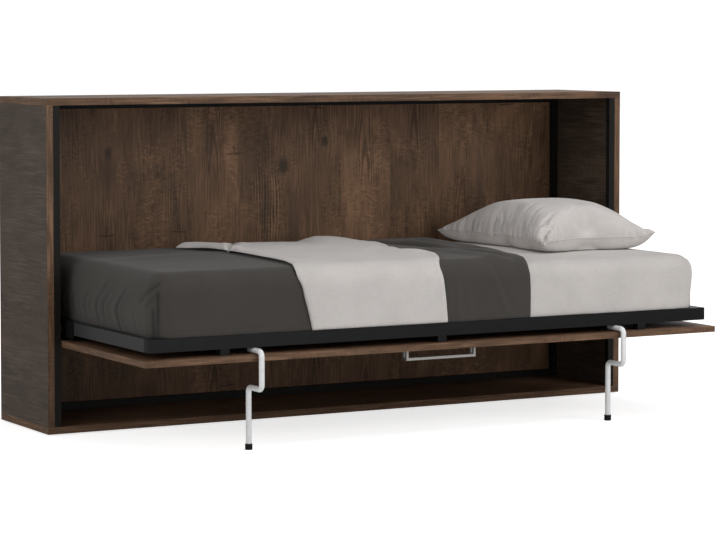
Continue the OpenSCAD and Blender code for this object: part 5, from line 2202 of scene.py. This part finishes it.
@dataclass
class BedFrame:
    """The tube frame, its closing panel, handle, slats and pivots."""

    look: Look
    fixings: Fixings
    edge: float = 0.0010
    small_edge: float = 0.0006
    panel_edge: float = 0.0009
    handle_edge: float = 0.0012
    slat_count: int = 14
    slat_width: float = 0.055
    slat_bow: float = 0.0010

    def build(self) -> None:
        """Build every piece that the bed body holds, apart from its bedding."""
        look, small = self.look, self.small_edge
        for nodes, radius, finish in (
            (("frame_front_rail", "frame_rear_rail", "frame_cross_bars"), self.edge, "graphite_powder_coat"),
            # The end rails take the paler copy of the graphite coat, with painted light from the left
            (("frame_left_rail", "frame_right_rail"), self.edge, "graphite_powder_coat_ends"),
            (("left_pivot_plate", "right_pivot_plate"), small, "graphite_powder_coat"),
        ):
            for node in nodes:
                dress(node, "coated", radius, look[finish], "bed")
        panel = dress("door_panel", "oak", self.panel_edge, look["smoked_oak_panel"], "bed")
        level, end = look["edge_band_level"], look["edge_band_end"]
        edge_bands(panel, [(level, (0, -1, 0)), (level, (0, 1, 0)), (end, (1, 0, 0)), (end, (-1, 0, 0))])
        dress("door_handle", "brushed", self.handle_edge, look["brushed_handle"], "bed", 3)
        self.slats()
        for node in ("tube_end_caps", "slat_holders", "door_spacers", "leg_bearings"):
            dress(node, "moulded", small, look["black_moulding"], "bed")
        dress("pivot_pins", "turned", small, look["zinc_plate"], "bed")
        for node in ("door_screws", "handle_screws", "leg_bearing_screws"):
            self.fixings.screws(node, "bed", look["blackened_zinc"])

    def slats(self) -> None:
        """Lay the bowed slats in their holders."""
        low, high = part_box("slats")
        piece = path_piece("slats_beech", [(0.0, 0.0, 0.0), (0.0, 0.0, 0.001)])
        pitch = (high[0] - low[0] - self.slat_width) / (self.slat_count - 1)
        slat_tree().grow(
            piece, Count=self.slat_count, Pitch=pitch, Length=high[1] - low[1], Width=self.slat_width,
            Thickness=high[2] - low[2], Bow=self.slat_bow, Finish=self.look["beech_slats"],
        )
        piece.data.transform(Matrix.Translation([(a + b) / 2 for a, b in zip(low, high)]))
        report(piece, "bed", "slats")


@dataclass
class Leg:
    """One cranked leg with its foot and stop pin."""

    look: Look
    side: str
    bar: float = 0.0086
    wall: float = 0.0015
    bend: float = 0.016
    crank_z: float = 0.190
    open_depth: float = 0.04
    foot_edge: float = 0.0018
    pin_edge: float = 0.0005

    def build(self) -> None:
        """Build the leg's pieces."""
        look, body = self.look, f"{self.side}_leg"
        self.tube(body)
        dress(f"{self.side}_foot", "rubber", self.foot_edge, look["foot_rubber"], body, 3)
        dress(f"{self.side}_leg_pin", "turned", self.pin_edge, look["zinc_plate"], body)

    def tube(self, body: str) -> None:
        """Bend the leg's tube along its path and open its inner end.

        Args:
            body: The leg's body, which is also its CAD node.
        """
        low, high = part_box(body)
        foot_low, foot_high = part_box(f"{self.side}_foot")
        x, top, front = (low[0] + high[0]) / 2, high[2] - self.bar, low[1] + self.bar
        down = (foot_low[1] + foot_high[1]) / 2
        path = [(high[1], top), (front, top), (front, self.crank_z), (down, self.crank_z), (down, low[2])]
        piece = path_piece(f"{body}_tube", [(x, y, z) for y, z in path])
        sizes = {"Bar_radius": self.bar, "Bend_radius": self.bend, "Bend_steps": 12, "Sides": 40}
        tube_tree().grow(piece, Finish=self.look["pale_enamel"], **sizes)
        build = bmesh.new()
        build.from_mesh(piece.data)
        for cap in [f for f in build.faces if len(f.verts) > 8 and abs(f.normal.y) > 0.9]:
            bmesh.ops.inset_individual(build, faces=[cap], thickness=self.wall)
            made = bmesh.ops.extrude_discrete_faces(build, faces=[cap])["faces"][0]
            inward = math.copysign(self.open_depth, -made.normal.y)
            bmesh.ops.translate(build, verts=made.verts, vec=(0.0, inward, 0.0))
        smooth_faces(build, SMOOTH)
        build.to_mesh(piece.data)
        build.free()
        report(piece, body, body)


@dataclass
class GasStrut:
    """One gas strut: cylinder, rod, piston and lower stud."""

    look: Look
    side: str
    edge: float = 0.0004

    def build(self) -> None:
        """Build the strut's turned pieces."""
        tube, rod = f"{self.side}_strut_tube", f"{self.side}_strut_piston_rod"
        for node, body, slot, finish in (
            ("strut_cylinder", tube, "black_steel", "black_powder_coat"),
            ("strut_rod", rod, "bright_steel", "ground_rod"),
            ("strut_piston", rod, "black_plastic", "black_moulding"),
            ("rod_stud", "bed", "zinc_steel", "zinc_plate"),
        ):
            dress(f"{self.side}_{node}", "turned", self.edge, self.look[finish], body)


@dataclass
class Bedding:
    """The mattress and everything that lies on it."""

    look: Look

    def build(self) -> None:
        """Build the bedding from the mattress up; each layer's hem ends above the one below it."""
        low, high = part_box("mattress")
        block = Block((low[1] + high[1]) / 2, (high[0] - low[0]) / 2, (high[1] - low[1]) / 2, high[2])
        for layer, lift in ((Mattress, 0.0), (FittedSheet, 0.002), (DarkCover, 0.003), (PaleThrow, 0.004)):
            layer(self.look, block, low[2] + lift).build()
        low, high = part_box("pillow")
        Pillow(self.look, Vector(low), Vector(high)).build()


# Scene -------------------------------------------------------------------------------------


@dataclass
class Studio:
    """Floor, lights and camera, which aren't part of the bed."""

    lens: float = 137.655
    sensor: float = 36.0
    far_clip: float = 100.0
    shift_up: float = -0.1
    place: Point = (-4.3215, -7.7469, 1.2472)
    yaw: float = 28.937
    pitch: float = 3.424
    room: float = 0.24
    mirrored: float = 0.80
    shown: float = 1.05
    near_glow: float = 0.70
    far_glow: float = 0.95
    floor_half: float = 30.0
    floor_z: float = -0.0005

    def build(self) -> None:
        """Build the studio: a key light at the front right, and weaker ones low, at the left and above."""
        self.camera()
        self.floor()
        self.world()
        self.lamp("key", (2.8, -4.2, 2.6), (0.0, 0.0, 0.4), 2.0, 77.0)
        self.lamp("low", (1.0, -5.2, 0.9), (0.0, 0.0, 0.3), 2.0, 34.0)
        self.lamp("left", (-4.4, -1.3, 1.5), (-1.0, -0.1, 0.4), 3.4, 72.0)
        self.lamp("top", (0.4, -1.35, 4.0), (0.0, -0.1, 0.4), 2.6, 60.0)

    def camera(self) -> None:
        """Place the camera where the photograph was taken from."""
        data = bpy.data.cameras.new("camera")
        data.lens, data.sensor_width, data.shift_y = self.lens, self.sensor, self.shift_up
        data.clip_end = self.far_clip
        camera = link("camera", data)
        camera.location = self.place
        camera.rotation_euler = (math.radians(90.0 - self.pitch), 0.0, math.radians(-self.yaw))
        bpy.context.scene.camera = camera

    def floor(self) -> None:
        """Lay a plain pale floor, which glows more where it is farther off."""
        build = bmesh.new()
        bmesh.ops.create_grid(build, x_segments=1, y_segments=1, size=self.floor_half)
        bmesh.ops.translate(build, verts=build.verts, vec=(0.0, 0.0, self.floor_z))
        g = Graph("studio_floor")
        far = g.get("ShaderNodeVectorMath", {0: g.place}, "Value", operation="LENGTH")
        seen = g.get("ShaderNodeLightPath", output="Is Camera Ray")
        glow = g.span(far, 1.4, 4.5, self.near_glow, self.far_glow) * seen
        fixed = {"Specular_IOR_Level": 0.1, "Emission_Color": WHITE, "Emission_Strength": glow}
        g.finish((0.90, 0.90, 0.90), 0.9, **fixed)
        new_piece("studio_floor", mesh_of("studio_floor", build), g.material)

    def world(self) -> None:
        """Light the room evenly; what the camera and mirrors see of it is paler."""
        world = bpy.data.worlds.new("studio")
        world.use_nodes = True
        nodes = Nodes(world.node_tree)
        path, shown = nodes.add("ShaderNodeLightPath"), nodes.tree.nodes["Background"]
        nodes.feed(shown.inputs[0], WHITE)
        nodes.feed(shown.inputs[1], self.room)
        for kind, power in (("Is Glossy Ray", self.mirrored), ("Is Camera Ray", self.shown)):
            other = nodes.get("ShaderNodeBackground", {0: WHITE, 1: power})
            shown = nodes.add("ShaderNodeMixShader", {0: path.outputs[kind], 1: shown.outputs[0], 2: other})
        nodes.feed(nodes.tree.nodes["World Output"].inputs[0], shown.outputs[0])
        bpy.context.scene.world = world
        bpy.context.scene.view_settings.view_transform = "Standard"

    def lamp(self, name: str, place: Point, aim: Point, size: float, power: float) -> None:
        """Hang one square area light.

        Args:
            name: The light's name.
            place: Where it hangs.
            aim: What it points at.
            size: The length of its side.
            power: Its power in watts.
        """
        data = bpy.data.lights.new(name, "AREA")
        data.size, data.energy = size, power
        lamp = link(name, data)
        lamp.location = place
        lamp.rotation_euler = (Vector(aim) - Vector(place)).to_track_quat("-Z", "Y").to_euler()


def main() -> None:
    """Build the bed in order and report each piece."""
    logging.basicConfig(level=logging.INFO, format="%(name)s: %(message)s")
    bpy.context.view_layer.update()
    Studio().build()
    look = make_look()
    fixings = Fixings()
    Cabinet(look, fixings).build()
    BedFrame(look, fixings).build()
    for side in ("left", "right"):
        Leg(look, side).build()
        GasStrut(look, side).build()
    Bedding(look).build()


if __name__ == "__main__":
    main()
